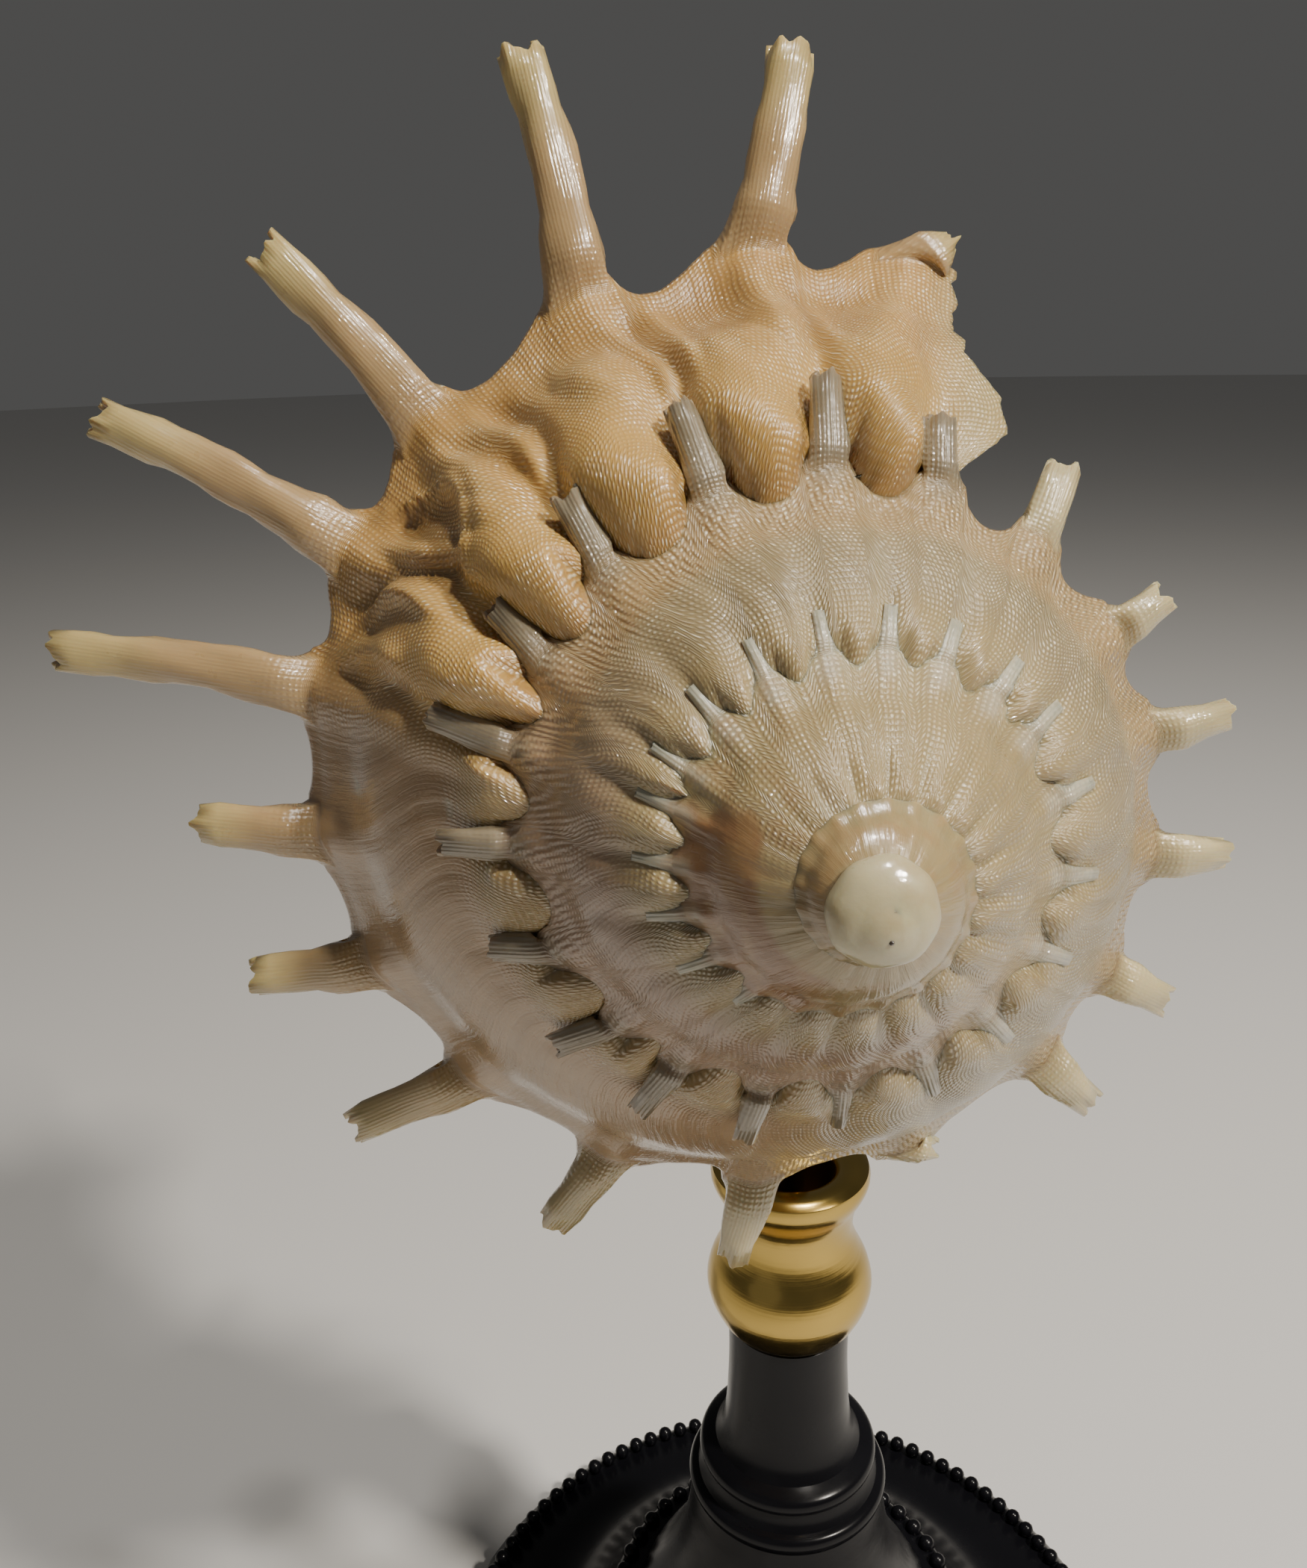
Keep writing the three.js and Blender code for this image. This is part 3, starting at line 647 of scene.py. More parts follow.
def rayRings(i, rim, around, rng):
    # rings from the keel to the broken end and down the hollow, as (spots, distance)
    half, length, inner = rayWidths[i] / 2, rayLengths[i], rayWhorls[i] == 2
    uneven = rng.uniform(0, 2 * pi, 6)
    tip = rays["thinTips"].get(i, rays["tip"][rayWhorls[i]])

    def ring(distance, wide=1.0, rough=0.0):
        centre, side, ahead = rayFrame(i, distance)
        size = half * wide * mm
        size *= 1 + 0.05 * sin(0.9 * distance + uneven[1]) + 0.03 * sin(2.3 * distance + uneven[5])
        spots = []
        for t in around:
            lump = size * (1 + 0.06 * sin(3 * t + uneven[0] + 0.5 * distance))
            chip = sum(share * sin(turns * t + uneven[k]) for k, share, turns in rays["chips"])
            spot = centre + side * (cos(t) * lump) + axis * (rays["flat"] * sin(t) * lump)
            spots.append(spot + ahead * (rough * chip * mm))
        return spots

    def width(distance):
        part = distance / length
        taper = 0.9 + 0.16 * (1 - part) + 0.2 * exp(-(distance - rootDistance) / half)
        return (1 + (tip - 1) * part**2) * taper

    # an inner ray starts past its keel, which flares out further than the root
    foot, _, ahead = rayFrame(i, 0.0)
    edge = max((v.co - foot).dot(ahead) for v in rim) / mm if inner else 0
    rootDistance = max(min(2.2 * half, 0.45 * length), min(edge + 1.1 * half, 0.75 * length))
    rootSpots = ring(rootDistance, width(rootDistance))
    _, side, ahead = rayFrame(i, rootDistance)
    reach = (rootDistance - 0.8 * edge) * mm
    downhill = (ahead - axis * rays["leave"][rayWhorls[i]]) * 0.75
    onward = ahead - axis * rayDrops[i]
    rings = [([v.co.copy() for v in rim], 0.0)]
    steps = 5 if length > 4 else 3
    for k in range(1, steps + 1):
        spots = []
        for v, target, turn in zip(rim, rootSpots, around):
            leave = (downhill - side * (0.6 * cos(turn)) + axis * (0.1 * sin(turn))) * reach
            arrive = (onward - side * (0.12 * cos(turn))) * reach
            spots.append(bridge(k / steps, v.co, target, leave, arrive))
        rings.append((spots, rootDistance * k / steps))
    tubeSteps = max(2, round((length - rootDistance) / 1.6))
    rough = 0.06 * half if inner else min(0.2 * half, 0.4)
    for k in range(1, tubeSteps + 1):
        distance = rootDistance + (length - rootDistance) * k / tubeSteps
        rings.append((ring(distance, width(distance), rough if k == tubeSteps else 0), distance))
    wide = width(length)
    rings.append((ring(length, 0.7 * wide, rough), length))
    deep = min(rays["hollow"], 0.45 * length)
    for back, shrink in ((0.25, 0.62), (1, 0.5)):
        rings.append((ring(length - deep * back, shrink * wide), -1.0))  # the inside of the broken end
    return rings


def growRays(bm, table, layers):
    # draws each ray out of a patch cut in the keel, and closes the bottom of its hollow
    rng = np.random.default_rng(7)
    plans = [rayPatch(i, table) for i in range(rayCount)]
    bmesh.ops.delete(bm, geom=[f for faces, rim, turns in plans for f in faces], context="FACES")
    targets, ends = {}, []
    for i, (faces, rim, turns) in enumerate(plans):
        rings = rayRings(i, rim, turns, rng)
        tube = gridOf(bm, len(rings), len(rim) + 1)
        for row, (spots, distance) in zip(tube, rings):
            for v, spot in zip(row, spots + spots[:1]):
                setVertex(v, spot, layers, (rayAngles[i], 1.0, i + 1, distance, 0, -abs(distance)))
        for f in {f for row in tube for v in row for f in v.link_faces}:
            f.normal_flip()
        targets.update(zip(tube[0], rim + rim[:1]))
        targets.update({row[-1]: row[0] for row in tube[1:]})
        ends.append(tube[-1][:-1])
    bmesh.ops.weld_verts(bm, targetmap=targets)
    bmesh.ops.holes_fill(bm, edges=[edge for end in ends for edge in edgesOf(bm, end)], sides=0)


def addObject(name, data):
    made = bpy.data.objects.new(name, data)
    bpy.context.scene.collection.objects.link(made)
    return made


def makeObject(name, bm):
    mesh = bpy.data.meshes.new(name)
    bm.to_mesh(mesh)
    bm.free()
    mesh.polygons.foreach_set("use_smooth", [True] * len(mesh.polygons))
    return addObject(name, mesh)


# Low domes on the axis: the smooth first whorls, their small pit as a tiny dome painted dark for painted
# shade, and the closed top of the umbilicus
shellFacts = ("growAngle", "faceAlong", "rayNumber", "rayOut", "under", "toKeel")
domes = [  # radius, height, how far aside and below the apex, height of its knob, and the facts above
    (3.3, 1.88, 0.0, 2.6, 0.26, (-1440, 0.5, -1, 0, 0, 0)),
    (0.15, 0.12, -1.2, 0.63, 0, (-1440, 0.5, 1, -1, 0, 0)),
    (7.6, 1.5, 0.0, 30.2, 0, (-400, 0.5, 0, 0, 1, 0)),
]


def addDome(bm, layers, radius, height, aside, depth, knob, facts):
    for v in bmesh.ops.create_uvsphere(bm, u_segments=48, v_segments=24, radius=1)["verts"]:
        x, y, z = v.co
        turn = atan2(y, x)
        uneven = 1 + (0.016 * sin(3 * turn + 1) + 0.014 * sin(8 * turn)) * (1 - z * z)
        apart = hypot(x + 0.26, y)
        top = height * z + (knob * (hump(apart, 0, 0.4) - 0.35 * hump(apart, 0.52, 0.09)) if z > 0 else 0)
        spot = up * (radius * uneven * x + aside) + right * (radius * uneven * y) + axis * (top - depth)
        setVertex(v, (Vector(spiral["apex"]) + spot) * mm, layers, facts)


def makeShell():
    bm = bmesh.new()
    layers = [bm.verts.layers.float.new(n) for n in shellFacts]
    for dome in domes:
        addDome(bm, layers, *dome)
    face = gridOf(bm, len(columns), len(faceRows) + len(edgeRows))
    angle, along, out, depth = faceNet()
    spots = place(angle, out, depth)
    steps = np.linalg.norm(np.diff(spots, axis=1), axis=2)[:, ::-1] / mm
    toKeel = np.cumsum(np.concatenate([0 * steps[:, :1], steps], 1), axis=1)[:, ::-1]
    setNet(face, spots, layers, (angle, along, 0, 0, 0, toKeel - toKeel[:, len(faceRows) - 1, None]))
    print("face done")

    last = columns[columns > base["ends"]]
    below = gridOf(bm, len(last), base["rows"])
    angle, part, out, depth = baseNet(last)
    setNet(below, place(angle, out, depth), layers, (angle, part, 0, 0, 1, 0))
    bmesh.ops.weld_verts(bm, targetmap={low[0]: high[-1] for low, high in zip(below, face[-len(last):])})
    makeMouth(bm, face, below, layers)
    print("underside and mouth done")

    growRays(bm, face, layers)
    print("rays done")
    bm.normal_update()
    return makeObject("sunburstShell", bm)


shellPiece = makeShell()
print("shell triangles", sum(len(p.vertices) - 2 for p in shellPiece.data.polygons))

# Colours of the shell, as red, green and blue of a screen
shellColours = {
    "amber": (0.785, 0.63, 0.345),
    "tan": (0.72, 0.565, 0.32),
    # colour of the painted shade in fold valleys and in the crease at the keel before
    "recessShade": (0.52, 0.37, 0.20),
    "beige": (0.70, 0.585, 0.445),
    "ivory": (0.605, 0.54, 0.40),
    "flange": (0.64, 0.54, 0.375),
    "rose": (0.64, 0.535, 0.435),
    "cream": (0.655, 0.58, 0.415),
    # painted highlight on the fold tops
    "crest": (0.815, 0.70, 0.46),
    "rust": (0.585, 0.42, 0.275),
    "nucleus": (0.79, 0.75, 0.60),
    "peach": (0.70, 0.59, 0.42),
    "honey": (0.77, 0.69, 0.47),
    "bone": (0.80, 0.745, 0.575),
    "ash": (0.555, 0.51, 0.42),
    "chalk": (0.73, 0.695, 0.61),
    # painted shade inside the hollow ray ends and the small pit
    "hollowShade": (0.22, 0.17, 0.13),
    "lipEdge": (0.71, 0.655, 0.485),
    "under": (0.82, 0.72, 0.56),
    "porcelain": (0.90, 0.85, 0.76),
}
# Small whitish deposits: growth angle, place along the face, and their half sizes
deposits = [(-104.4, 0.744, 1.5, 0.03), (-103.2, 0.247, 1.6, 0.012), (-113.6, 0.106, 1.6, 0.02)]


def linear(colour):
    return np.array([[c / 12.92 if c < 0.04045 else ((c + 0.055) / 1.055) ** 2.4 for c in colour]])


def coated(tint, coats):
    # coats are (colour, share)
    for coat, share in coats:
        coat = linear(shellColours[coat]) if isinstance(coat, str) else coat
        tint = tint * (1 - share[:, None]) + coat * share[:, None]
    return tint


def readLayer(mesh, name):
    values = np.zeros(len(mesh.vertices), np.float32)
    mesh.attributes[name].data.foreach_get("value", values)
    return values.astype(float)


def rustOf(angle, along):
    torn = angle + 5 * np.sin(6 * along + 2) + 1.5 * np.sin(23 * along + 1)
    return np.maximum(within(torn, "rust") * smooth(along, 0.24, 0.34), 0.4 * hump(angle, -1190, 60))


def tintOf(angle, along, number, rayOut, under):
    newest = since(angle, "newest")
    smoother = since(angle, "smooth") * (1 - newest)
    amber, cream, peach = (linear(shellColours[name]) for name in ("amber", "cream", "peach"))
    # painted shade: past the lit part the older whorls take this pinker, shaded copy of their colour
    shaded = coated(cream, [("rose", smooth(along, 0.15, 0.45))])
    older = coated(cream, [
        ("ivory", smooth(along, 0.2, 0.4)),
        ("flange", smooth(along, 0.6, 0.74)),
        (shaded, 1 - since(angle, "lit")),
        ("cream", 1 - since(angle, "later")),
        ("rust", 0.85 * rustOf(angle, along)),
        ("tan", 0.3 * smoother),
    ])
    folded = foldHeight(angle, along) * newest
    # painted shade: darker close to the keel of the whorl before, in the crease under it
    keelCreaseShade = np.exp(-np.clip(clearance(angle, along), 0, None) / (0.028 * keelRadius(angle)))
    spots = []
    for atAngle, atAlong, wide, tall in deposits:
        spread = np.exp(-(((angle - atAngle) / wide) ** 2) - ((along - atAlong) / tall) ** 2)
        spots.append(("chalk", 0.7 * smooth(spread, 0.25, 0.6)))
    tint = coated(amber, [
        ("tan", smooth(along, 0.2, 0.65)),
        (older, 1 - newest),
        ("beige", smoother * smooth(along, 0.1, 0.25)),
        # painted shade in the fold valleys and painted highlight on the fold tops
        ("recessShade", 0.65 * np.clip(-folded / 1.3, 0, 1)),
        ("crest", 0.4 * np.clip(folded / 0.9, 0, 1)),
        ("recessShade", keelCreaseShade * (0.68 * newest + 0.04)),
        ("lipEdge", 0.7 * since(angle, "lipEdge")),
    ] + spots)
    # honey at the ends of the newest rays, then paler, grey and at last chalky
    onRay = number > 0.5
    i = np.clip(number - 1, 0, None).astype(int)
    rayTint = coated(peach, [
        ("honey", smooth(rayOut / rayLengths[i], 0.5, 0.9)),
        ("bone", smooth(i, 6, 11)),
        ("ash", smooth(i, 17, 18)),
        ("chalk", smooth(i, 29, 31)),
    ])
    tint = coated(tint, [(rayTint, onRay * np.clip(0.35 + smooth(rayOut, -0.5, 3.0), 0, 1))])
    nearRoot = np.exp(-((phase(angle, ownMarks) + 0.5) % 1 - 0.5) ** 2 / 0.035) * smooth(along, 0.86, 0.99)
    grey = coated(linear(shellColours["ash"]), [("chalk", 1 - since(angle, "greyer"))])
    tint = coated(tint, [(grey, 0.75 * nearRoot * within(angle, "greyRoots") * ~onRay)])
    # the insides of the broken ray ends and the small pit are painted dark, as painted shade
    plain = {"hollowShade": rayOut < -0.5, "under": under > 0.5, "nucleus": number < -0.5, "porcelain": under > 1.5}
    return coated(tint, [(name, where.astype(float)) for name, where in plain.items()])


def grainOf(mesh, angle, along, number, rayOut, under, toKeel):
    # mm along the growth lines and across the face, and how strong each kind of grain is
    newest, lit, later = since(angle, "newest"), since(angle, "lit"), since(angle, "later")
    smoother = since(angle, "smooth") * (1 - newest)
    onRay = number > 0.5
    i = np.clip(number - 1, 0, None).astype(int)
    fine = np.linspace(-1460, 60, 4001)
    keelTravel = travelled(fine)
    grow = np.interp(angle - growthBow(along) * later, fine, keelTravel)
    plain = np.interp(angle, fine, keelTravel)
    co = np.zeros(len(mesh.vertices) * 3, np.float32)
    mesh.vertices.foreach_get("co", co)
    co = co.reshape(-1, 3).astype(float)
    for k in range(rayCount):
        mine = onRay & (i == k)
        foot = np.array(place(rayAngles[k], rayKeels[k], spiral["cone"] * rayKeels[k]))
        _, side, _ = rayFrame(k, 0.5 * rayLengths[k])
        grow[mine] = np.interp(rayAngles[k], fine, keelTravel) + (co[mine] - foot) @ np.array(side) / mm
        plain[mine] = grow[mine]
    width = faceWidth(angle)
    across = width - np.where(under > 0.5, width * (1 - np.minimum(along, 1)), toKeel)
    beads = np.where(onRay, 0.6 * fading(rayOut, 1, 7), 1.0)
    beads *= since(angle, "beads") * (1 - rustOf(angle, along))
    beads *= 1 - 0.93 * smoother * smooth(along, 0.15, 0.3) * ~onRay
    beads *= 1 - 0.7 * (1 - lit) * later * (1 - newest) * smooth(along, 0.1, 0.3)
    beads[(number < -0.5) | (under > 1.5) | (rayOut < -0.5)] = 0
    cords = smooth(along, 0.55, 0.72) * (1 - newest) * (1 - smoother) * ~onRay * later
    return {
        "grow": grow,
        "plain": plain,
        "across": across * (1 + 0.15 * (1 - since(angle, "coarse"))),  # finer on the older whorls
        "beads": beads,
        "striae": np.where(onRay, np.where(i < rays["whorls"][0], 0.45, 0.9), 0.0),
        "cords": cords * (0.35 + 0.65 * since(angle, "cords")),
        "mottled": (1 - since(angle, "mottled")) * (0.5 + 0.5 * since(angle, "mottledLess")) * ~onRay,
    }


def shellLayers(mesh):
    facts = [readLayer(mesh, name) for name in shellFacts]
    tint = np.pad(tintOf(*facts[:5]), ((0, 0), (0, 1)), constant_values=1).astype(np.float32)
    mesh.attributes.new("tint", "FLOAT_COLOR", "POINT").data.foreach_set("color", tint.ravel())
    for name, values in grainOf(mesh, *facts).items():
        mesh.attributes.new(name, "FLOAT", "POINT").data.foreach_set("value", values.astype(np.float32))


def plug(node, inputs):
    for name, value in inputs.items():
        if isinstance(value, bpy.types.NodeSocket):
            node.id_data.links.new(value, node.inputs[name])
        else:
            node.inputs[name].default_value = value


def addNode(kind, inputs, tree=None, **settings):
    # in the tree of its inputs, where none is given
    tree = tree or next(value.id_data for value in inputs.values() if isinstance(value, bpy.types.NodeSocket))
    node = tree.nodes.new("ShaderNode" + kind)
    for name, value in settings.items():
        setattr(node, name, value)
    plug(node, inputs)
    return node


def newLook(name):
    look = bpy.data.materials.new(name)
    look.use_nodes = True
    return look, look.node_tree, look.node_tree.nodes["Principled BSDF"]


def compute(operation, *values):
    return addNode("Math", dict(enumerate(values)), operation=operation).outputs[0]


def times(first, second):
    return compute("MULTIPLY", first, second)


def plus(first, second, share=None):
    return compute("ADD", first, second if share is None else times(second, share))


def line(value, slope, start):
    return compute("MULTIPLY_ADD", value, slope, start)


def noise(spot, scale, detail, rough=0.5):
    values = {"Vector": spot, "Scale": scale, "Detail": detail, "Roughness": rough}
    return addNode("TexNoise", values).outputs["Fac"]


def ranged(value, low, high, toLow=0.0, toHigh=1.0):
    values = {"Value": value, "From Min": low, "From Max": high, "To Min": toLow, "To Max": toHigh}
    return addNode("MapRange", values).outputs[0]


def spotOf(x, y):
    return addNode("CombineXYZ", {0: x, 1: y}).outputs[0]


def scaled(vector, scale):
    return addNode("VectorMath", {0: vector, "Scale": scale}, operation="SCALE").outputs[0]


def layerValue(tree, name, output="Fac"):
    return addNode("Attribute", {}, tree, attribute_name=name).outputs[output]


def mixed(share, first, second):
    return addNode("Mix", {0: share, 6: first, 7: second}, data_type="RGBA").outputs[2]


def bumped(height, rise):
    return addNode("Bump", {"Height": height, "Distance": rise * mm, "Strength": 1.0}).outputs["Normal"]


def waveOf(value, pitch):
    # 1 on the middle of each cord, 0 between two cords
    turn = times(value, 2 * pi / pitch)
    return line(compute("COSINE", turn), 0.5, 0.5)


grain = {
    "beadAlong": 0.44,  # mm
    "beadAcross": 0.56,
    "cord": 0.66,
    "striae": 0.3,
    "sway": 0.5,  # mm that the rows of beads wander
    "beadHeight": 0.065,
    "glintHeight": 0.16,  # the beads in the clear outermost layer
    "cordShare": 0.9,  # heights beside the beads' own
    "striaShare": 0.4,
    "bandShare": 1.2,
    "softShare": 0.5,
    "fineShare": 0.25,
    # bead tops painted paler: partly the beads' own colour, partly painted glints
    "paleAndGlintTops": 0.26,
    "wornAndGlintTops": 0.95,
    "wornAndGlintFrom": (0.78, 0.98),  # of all beads
    "paleAndGlintColour": (0.85, 0.77, 0.57, 1),
    "blotchColour": (0.36, 0.23, 0.1, 1),
    "bands": 0.9,  # streaks along the growth lines, for each mm
    "gloss": 0.24,
}


def shellLook():
    look, tree, skin = newLook("shellSkin")
    spot = addNode("TexCoord", {}, tree).outputs["Object"]
    sway = line(noise(spot, 420, 2), grain["sway"], -grain["sway"] / 2)
    grow = plus(layerValue(tree, "grow"), sway)
    across = plus(layerValue(tree, "across"), sway, 0.8)
    beadRows = waveOf(grow, grain["beadAlong"])
    beadLines = waveOf(across, grain["beadAcross"])
    bead = times(line(beadLines, 0.88, 0.12), line(beadRows, 0.85, 0.15))
    bead = times(bead, line(noise(spot, 160, 3), 2.4, -0.2))
    bead = times(bead, layerValue(tree, "beads"))
    oblique = line(layerValue(tree, "across"), 0.3, layerValue(tree, "plain"))
    cord = times(waveOf(oblique, grain["cord"]), layerValue(tree, "cords"))
    stria = times(waveOf(layerValue(tree, "grow"), grain["striae"]), layerValue(tree, "striae"))
    bands = noise(spotOf(grow, times(across, 0.07)), grain["bands"], 4, 0.7)
    soft = noise(spot, 500, 3)
    height = bead
    for value, share in ((cord, "cordShare"), (stria, "striaShare"), (bands, "bandShare"),
                         (noise(spot, 2600, 4), "fineShare"), (soft, "softShare")):
        height = plus(height, value, grain[share])

    cloud = ranged(noise(spot, 55, 5, 0.6), 0.3, 0.7, 0.84, 1.12)
    light = plus(line(bead, 0.16, 0.76), cord, 0.1)
    light = times(cloud, line(bands, 0.32, light))
    colour = scaled(layerValue(tree, "tint", "Color"), light)
    # pale bead tops, partly their own paler colour and partly painted glints, whitest on a few beads as
    # painted sparkle and wear, and brown blotches on the first whorls
    cells = [compute("ROUND", compute("DIVIDE", value, grain[pitch]))
             for value, pitch in ((grow, "beadAlong"), (across, "beadAcross"))]
    chance = addNode("TexWhiteNoise", {"Vector": spotOf(*cells)}).outputs["Value"]
    wornAndGlint = ranged(chance, *grain["wornAndGlintFrom"], grain["paleAndGlintTops"], grain["wornAndGlintTops"])
    top = times(ranged(bead, 0.35, 0.85), wornAndGlint)
    colour = mixed(top, colour, grain["paleAndGlintColour"])
    blotch = times(ranged(noise(spot, 430, 4), 0.5, 0.62, 0, 0.5), layerValue(tree, "mottled"))
    plug(skin, {
        "Base Color": mixed(blotch, colour, grain["blotchColour"]),
        "Roughness": line(soft, 0.25, grain["gloss"] - 0.05),
        "Normal": bumped(height, grain["beadHeight"]),
        "Coat Normal": bumped(height, grain["glintHeight"]),
        "Subsurface Weight": 0.55,
        "Subsurface Radius": (1.0, 0.6, 0.35),
        "Subsurface Scale": 0.0012,
        "Coat Weight": 0.9,
        "Coat Roughness": 0.06,
        "Coat IOR": 1.65,
    })
    return look


shellLayers(shellPiece.data)
shellPiece.data.materials.append(shellLook())
print("shell look done")
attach(shellPiece, "root")
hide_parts("shell")


# The turned stand, as runs of (radius, height). A run is a smooth curve on from the corner before it.
stand = {
    "cup": [
        [(0, 62), (6.6, 62)],
        [(7.05, 62.3), (7.7, 63.4), (8.4, 65.2), (8.62, 66.8), (8.2, 68.9), (7.1, 71.3), (6.5, 73.3),
         (6.55, 75.2), (7.0, 77.0), (7.7, 78.4), (8.1, 79.6), (8.0, 80.6), (7.3, 81.15), (6.3, 81.3),
         (5.3, 81.05), (4.6, 80.4), (4.3, 79.4), (4.2, 77.5), (4.2, 74), (4.2, 69)],
        [(0, 69)],
    ],
    "column": [
        [(0, 18.6), (17.6, 18.6)],
        [(17.3, 19.6), (16.3, 21.5), (14.2, 25), (12.2, 29.6), (11, 35), (10.6, 39.2)],
        [(10.85, 39.7), (10.9, 40.4), (10.6, 41), (9.9, 41.3)],
        [(9.5, 42), (9.15, 43.1)],
        [(9.55, 43.5), (9.68, 44.2), (9.4, 44.9), (8.8, 45.3)],
        [(7.9, 45.7), (7.2, 47), (6.75, 49.4), (6.5, 53), (6.35, 57.4), (6.4, 61.4)],
        [(6.1, 61.7), (0, 61.7)],
    ],
    "foot": [
        [(0, 0), (43.1, 0)],
        [(43.45, 0.3), (43.5, 0.9), (43.3, 2), (42.6, 3.1), (41.7, 3.9), (40.4, 4.4), (38.9, 4.7)],
        [(36, 5.6), (32, 6.6), (28.6, 8.2), (25.4, 10.8), (23, 13.6), (21.8, 15.6), (21.2, 16.8)],
        [(20.6, 17.7), (19.7, 18.1), (18.6, 18.3)],
        [(0, 18.3)],
    ],
    "beadRings": [(108, 40.4, 5.3, 1.0), (48, 19.75, 18.45, 1.02)],  # count, ring radius, height, bead radius
    "segments": {"cup": 96, "column": 96, "foot": 144},
    "sharp": 32,  # degrees past which an edge stays sharp
    "rodRadius": 1.5,
    "rodPath": [(0, 0, 69.3), (0, 0, 88), (0, 0.4, 104), (-1.6, 0.6, 115), (-3, -2, 121.4)],
    "rodEnds": (42, 29.8),  # mm below the apex on the shell's own axis
    "rodSteps": 48,
    "rodSides": 20,
}


def courseOf(points, steps):
    # spots at equal steps of a smooth curve through the points
    points = np.array(points, float)
    travel = np.concatenate([[0], np.cumsum(np.linalg.norm(np.diff(points, axis=0), axis=1))])
    at = np.linspace(0, travel[-1], steps + 1)
    return np.stack([throughPoints(at, zip(travel, course)) for course in points.T], 1)


def spinMesh(name):
    bm = bmesh.new()
    profile, corner = [], []
    for run in stand[name]:
        run = corner + run
        spots = courseOf(run, 1 if len(run) == 2 else 3 * (len(run) - 1))
        profile += [bm.verts.new(Vector((x, 0, z)) * mm) for x, z in spots[len(corner):]]
        corner = run[-1:]
    edges = [bm.edges.new(pair) for pair in zip(profile, profile[1:])]
    geom, steps = profile + edges, stand["segments"][name]
    bmesh.ops.spin(bm, geom=geom, cent=(0, 0, 0), axis=(0, 0, 1), steps=steps, angle=2 * pi, use_merge=True)
    bmesh.ops.remove_doubles(bm, verts=bm.verts, dist=1e-6)
    bmesh.ops.recalc_face_normals(bm, faces=bm.faces)
    for edge in bm.edges:
        edge.smooth = not edge.is_manifold or edge.calc_face_angle() < radians(stand["sharp"])
    return bm


# Colour, metal, roughness, height of the turning lines, coat and shine
finishes = {
    "brass": ((0.58, 0.405, 0.115), 1.0, 0.17, 1.5, 0.0, 0.5),
    "blackLacquer": ((0.005, 0.005, 0.0065), 0.0, 0.22, 0.4, 0.05, 0.2),
}


def turnedLook(name):
    # fine turning lines, a little orange peel and a worn gloss
    colour, metal, rough, lines, coat, shine = finishes[name]
    look, tree, skin = newLook(name)
    spot = addNode("TexCoord", {}, tree).outputs["Object"]
    parts = addNode("SeparateXYZ", {0: spot}).outputs
    flat = spotOf(parts[0], parts[1])
    radius = addNode("VectorMath", {0: flat}, operation="LENGTH").outputs["Value"]
    turning = noise(spotOf(radius, parts[2]), 2400, 3)
    wear = noise(spot, 130, 5)
    height = line(turning, lines, noise(spot, 900, 2))
    plug(skin, {
        "Base Color": scaled(colour, line(wear, 0.3, 0.85)),
        "Roughness": line(wear, 0.22, rough - 0.08),
        "Normal": bumped(height, 0.01),
        "Metallic": metal,
        "Coat Weight": coat,
        "Coat Roughness": 0.08,
        "Specular IOR Level": shine,
    })
    return look


brassLook, lacquerLook = turnedLook("brass"), turnedLook("blackLacquer")


def finishPiece(name, bm, node, look):
    made = makeObject(name, bm)
    made.data.materials.append(look)
    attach(made, "root")
    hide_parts(node)


def footMesh():
    bm = spinMesh("foot")
    for count, ring, height, radius in stand["beadRings"]:
        middle = Matrix.Translation(Vector((ring, 0, height)) * mm)
        bead = bmesh.ops.create_uvsphere(bm, u_segments=10, v_segments=6, radius=radius * mm, matrix=middle)
        faces = list({f for v in bead["verts"] for f in v.link_faces})
        bmesh.ops.spin(bm, geom=faces, cent=(0, 0, 0), axis=(0, 0, 1), steps=count - 1,
                       angle=2 * pi * (count - 1) / count, use_duplicate=True)
    return bm


def rodMesh():
    bm = bmesh.new()
    ends = [tuple(Vector(spiral["apex"]) - axis * depth) for depth in stand["rodEnds"]]
    middles = [Vector(spot) for spot in courseOf(stand["rodPath"] + ends, stand["rodSteps"])]
    table = gridOf(bm, len(middles), stand["rodSides"] + 1)
    for k, row in enumerate(table):
        ahead = (middles[min(k + 1, len(middles) - 1)] - middles[max(k - 1, 0)]).normalized()
        across = ahead.cross(Vector((1, 0, 0))).normalized()
        side = across.cross(ahead)
        for j, v in enumerate(row):
            turn = 2 * pi * j / stand["rodSides"]
            aside = side * cos(turn) + across * sin(turn)
            v.co = (middles[k] + aside * stand["rodRadius"]) * mm
    bmesh.ops.weld_verts(bm, targetmap={row[-1]: row[0] for row in table})
    bmesh.ops.holes_fill(bm, edges=bm.edges, sides=stand["rodSides"])
    bmesh.ops.recalc_face_normals(bm, faces=bm.faces)
    return bm


finishPiece("brassCup", spinMesh("cup"), "brass_cup", brassLook)
finishPiece("standColumn", spinMesh("column"), "stand_column", lacquerLook)
finishPiece("standFoot", footMesh(), "stand_foot", lacquerLook)
finishPiece("mountingRod", rodMesh(), "mounting_rod", brassLook)
print("stand done")

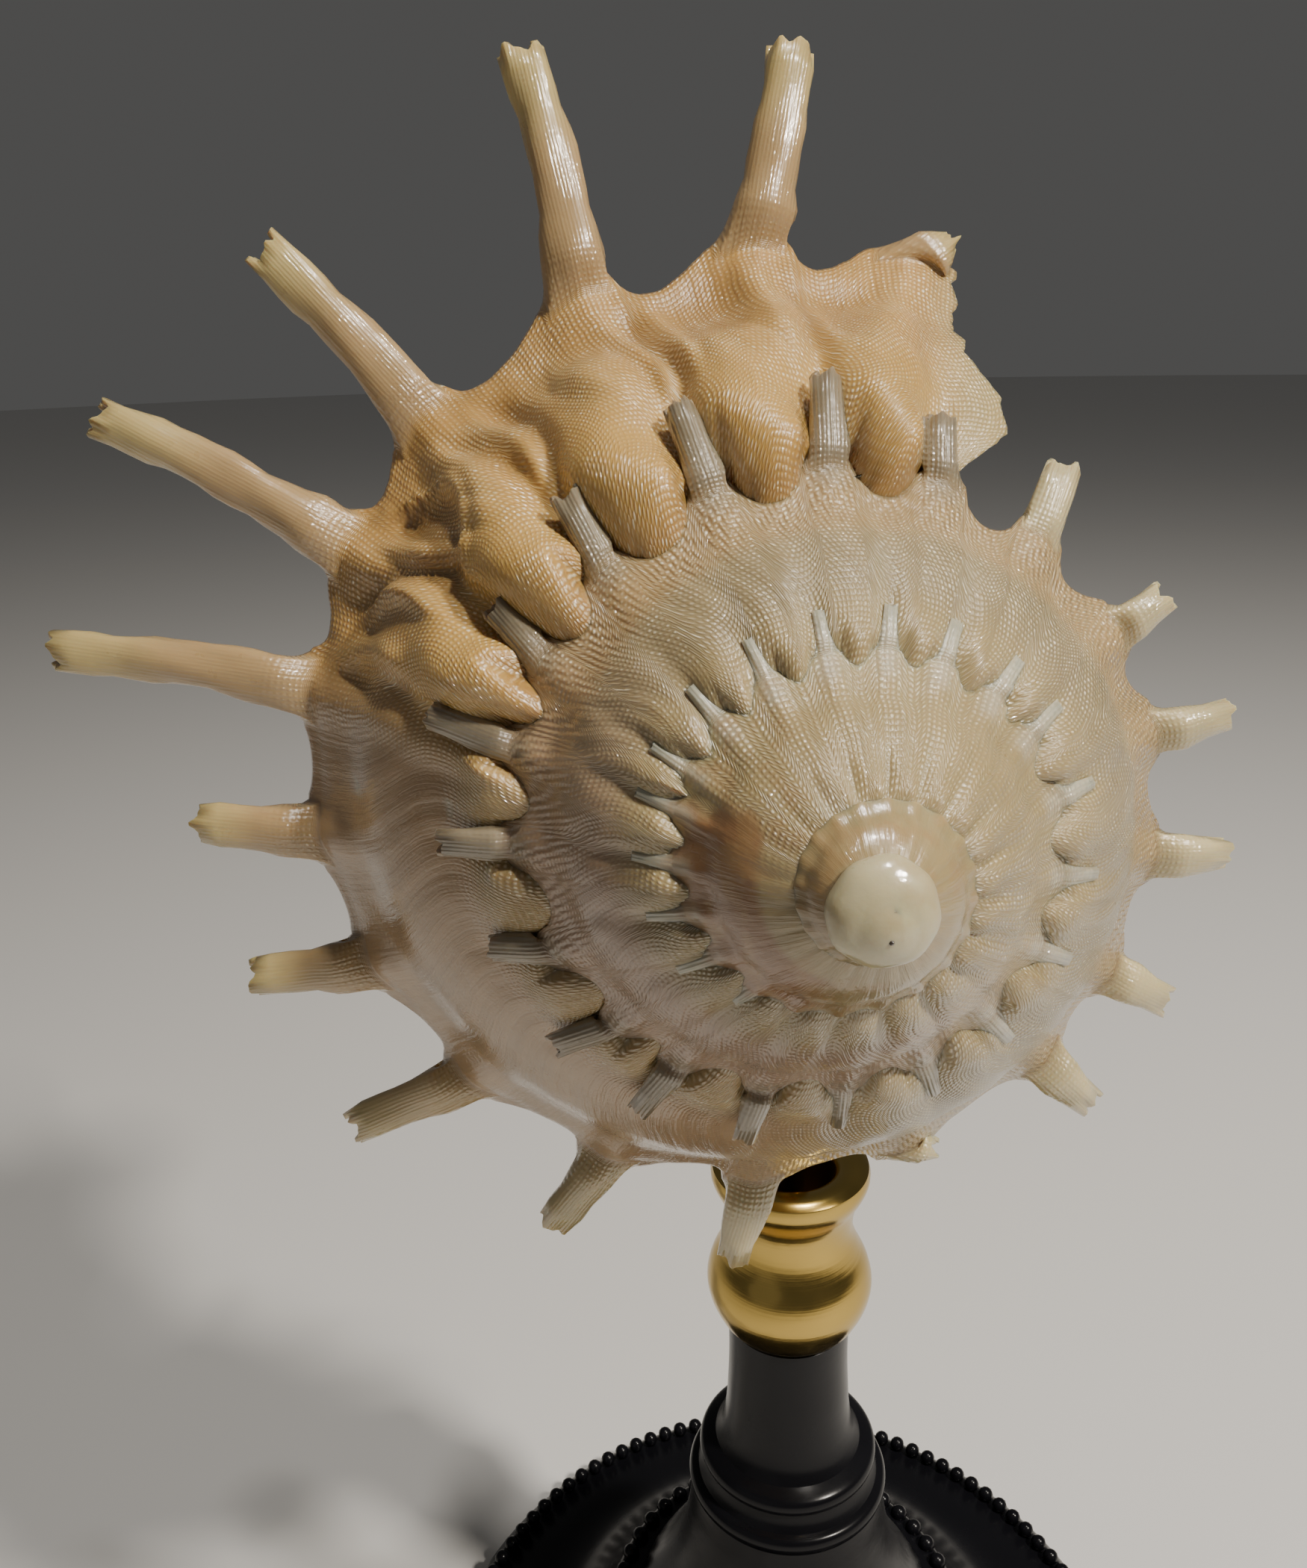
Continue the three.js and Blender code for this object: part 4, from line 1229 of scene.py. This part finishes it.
# Camera, light and floor
view = {
    "place": (-12.84, -111.78, 162.76),
    "down": 20,
    "roll": -1.6,
    "lens": 30,  # mm, for a sensor whose long side is 36 mm
    "sensor": 36,
}
# Direction from the apex, distance and size in metres, power and colour
lights = {
    "keyLight": ((0.58, -0.36, 0.73), 0.55, 0.055, 4.0, (1.0, 0.93, 0.83)),
    "topLight": ((0.2, 0.0, 0.98), 0.5, 0.03, 1.7, (1.0, 0.95, 0.88)),
    "fillLight": ((-0.7, -0.75, 0.35), 0.9, 0.9, 0.2, (1.0, 0.97, 0.93)),
}
room = {"world": (0.8, 0.79, 0.77, 1), "worldPower": 0.1, "floor": (0.72, 0.71, 0.69, 1), "floorRadius": 3}
stage = bpy.context.scene

camera = addObject("camera", bpy.data.cameras.new("camera"))
camera.data.lens = view["lens"]
camera.data.sensor_width = view["sensor"]
camera.data.clip_start = 0.002
camera.data.clip_end = 20
tilt, roll = radians(90 - view["down"]), radians(view["roll"])
turned = Matrix.Rotation(tilt, 4, "X") @ Matrix.Rotation(roll, 4, "Z")
camera.matrix_world = Matrix.Translation(Vector(view["place"]) * mm) @ turned
stage.camera = camera

for name, (toward, distance, size, power, colour) in lights.items():
    light = addObject(name, bpy.data.lights.new(name, "AREA"))
    light.data.shape = "DISK"
    light.data.size = size
    light.data.energy = power
    light.data.color = colour
    back = Vector(toward).normalized()
    light.location = Vector(spiral["apex"]) * mm + back * distance
    light.rotation_mode = "QUATERNION"
    light.rotation_quaternion = back.to_track_quat("Z", "Y")

stage.world = bpy.data.worlds.new("studio")
stage.world.use_nodes = True
background = stage.world.node_tree.nodes["Background"]
background.inputs["Color"].default_value = room["world"]
background.inputs["Strength"].default_value = room["worldPower"]

floorMesh = bmesh.new()
bmesh.ops.create_circle(floorMesh, cap_ends=True, segments=64, radius=room["floorRadius"])
floor = makeObject("floor", floorMesh)
floorLook, _, floorSkin = newLook("paleFloor")
plug(floorSkin, {"Base Color": room["floor"], "Roughness": 0.6})
floor.data.materials.append(floorLook)
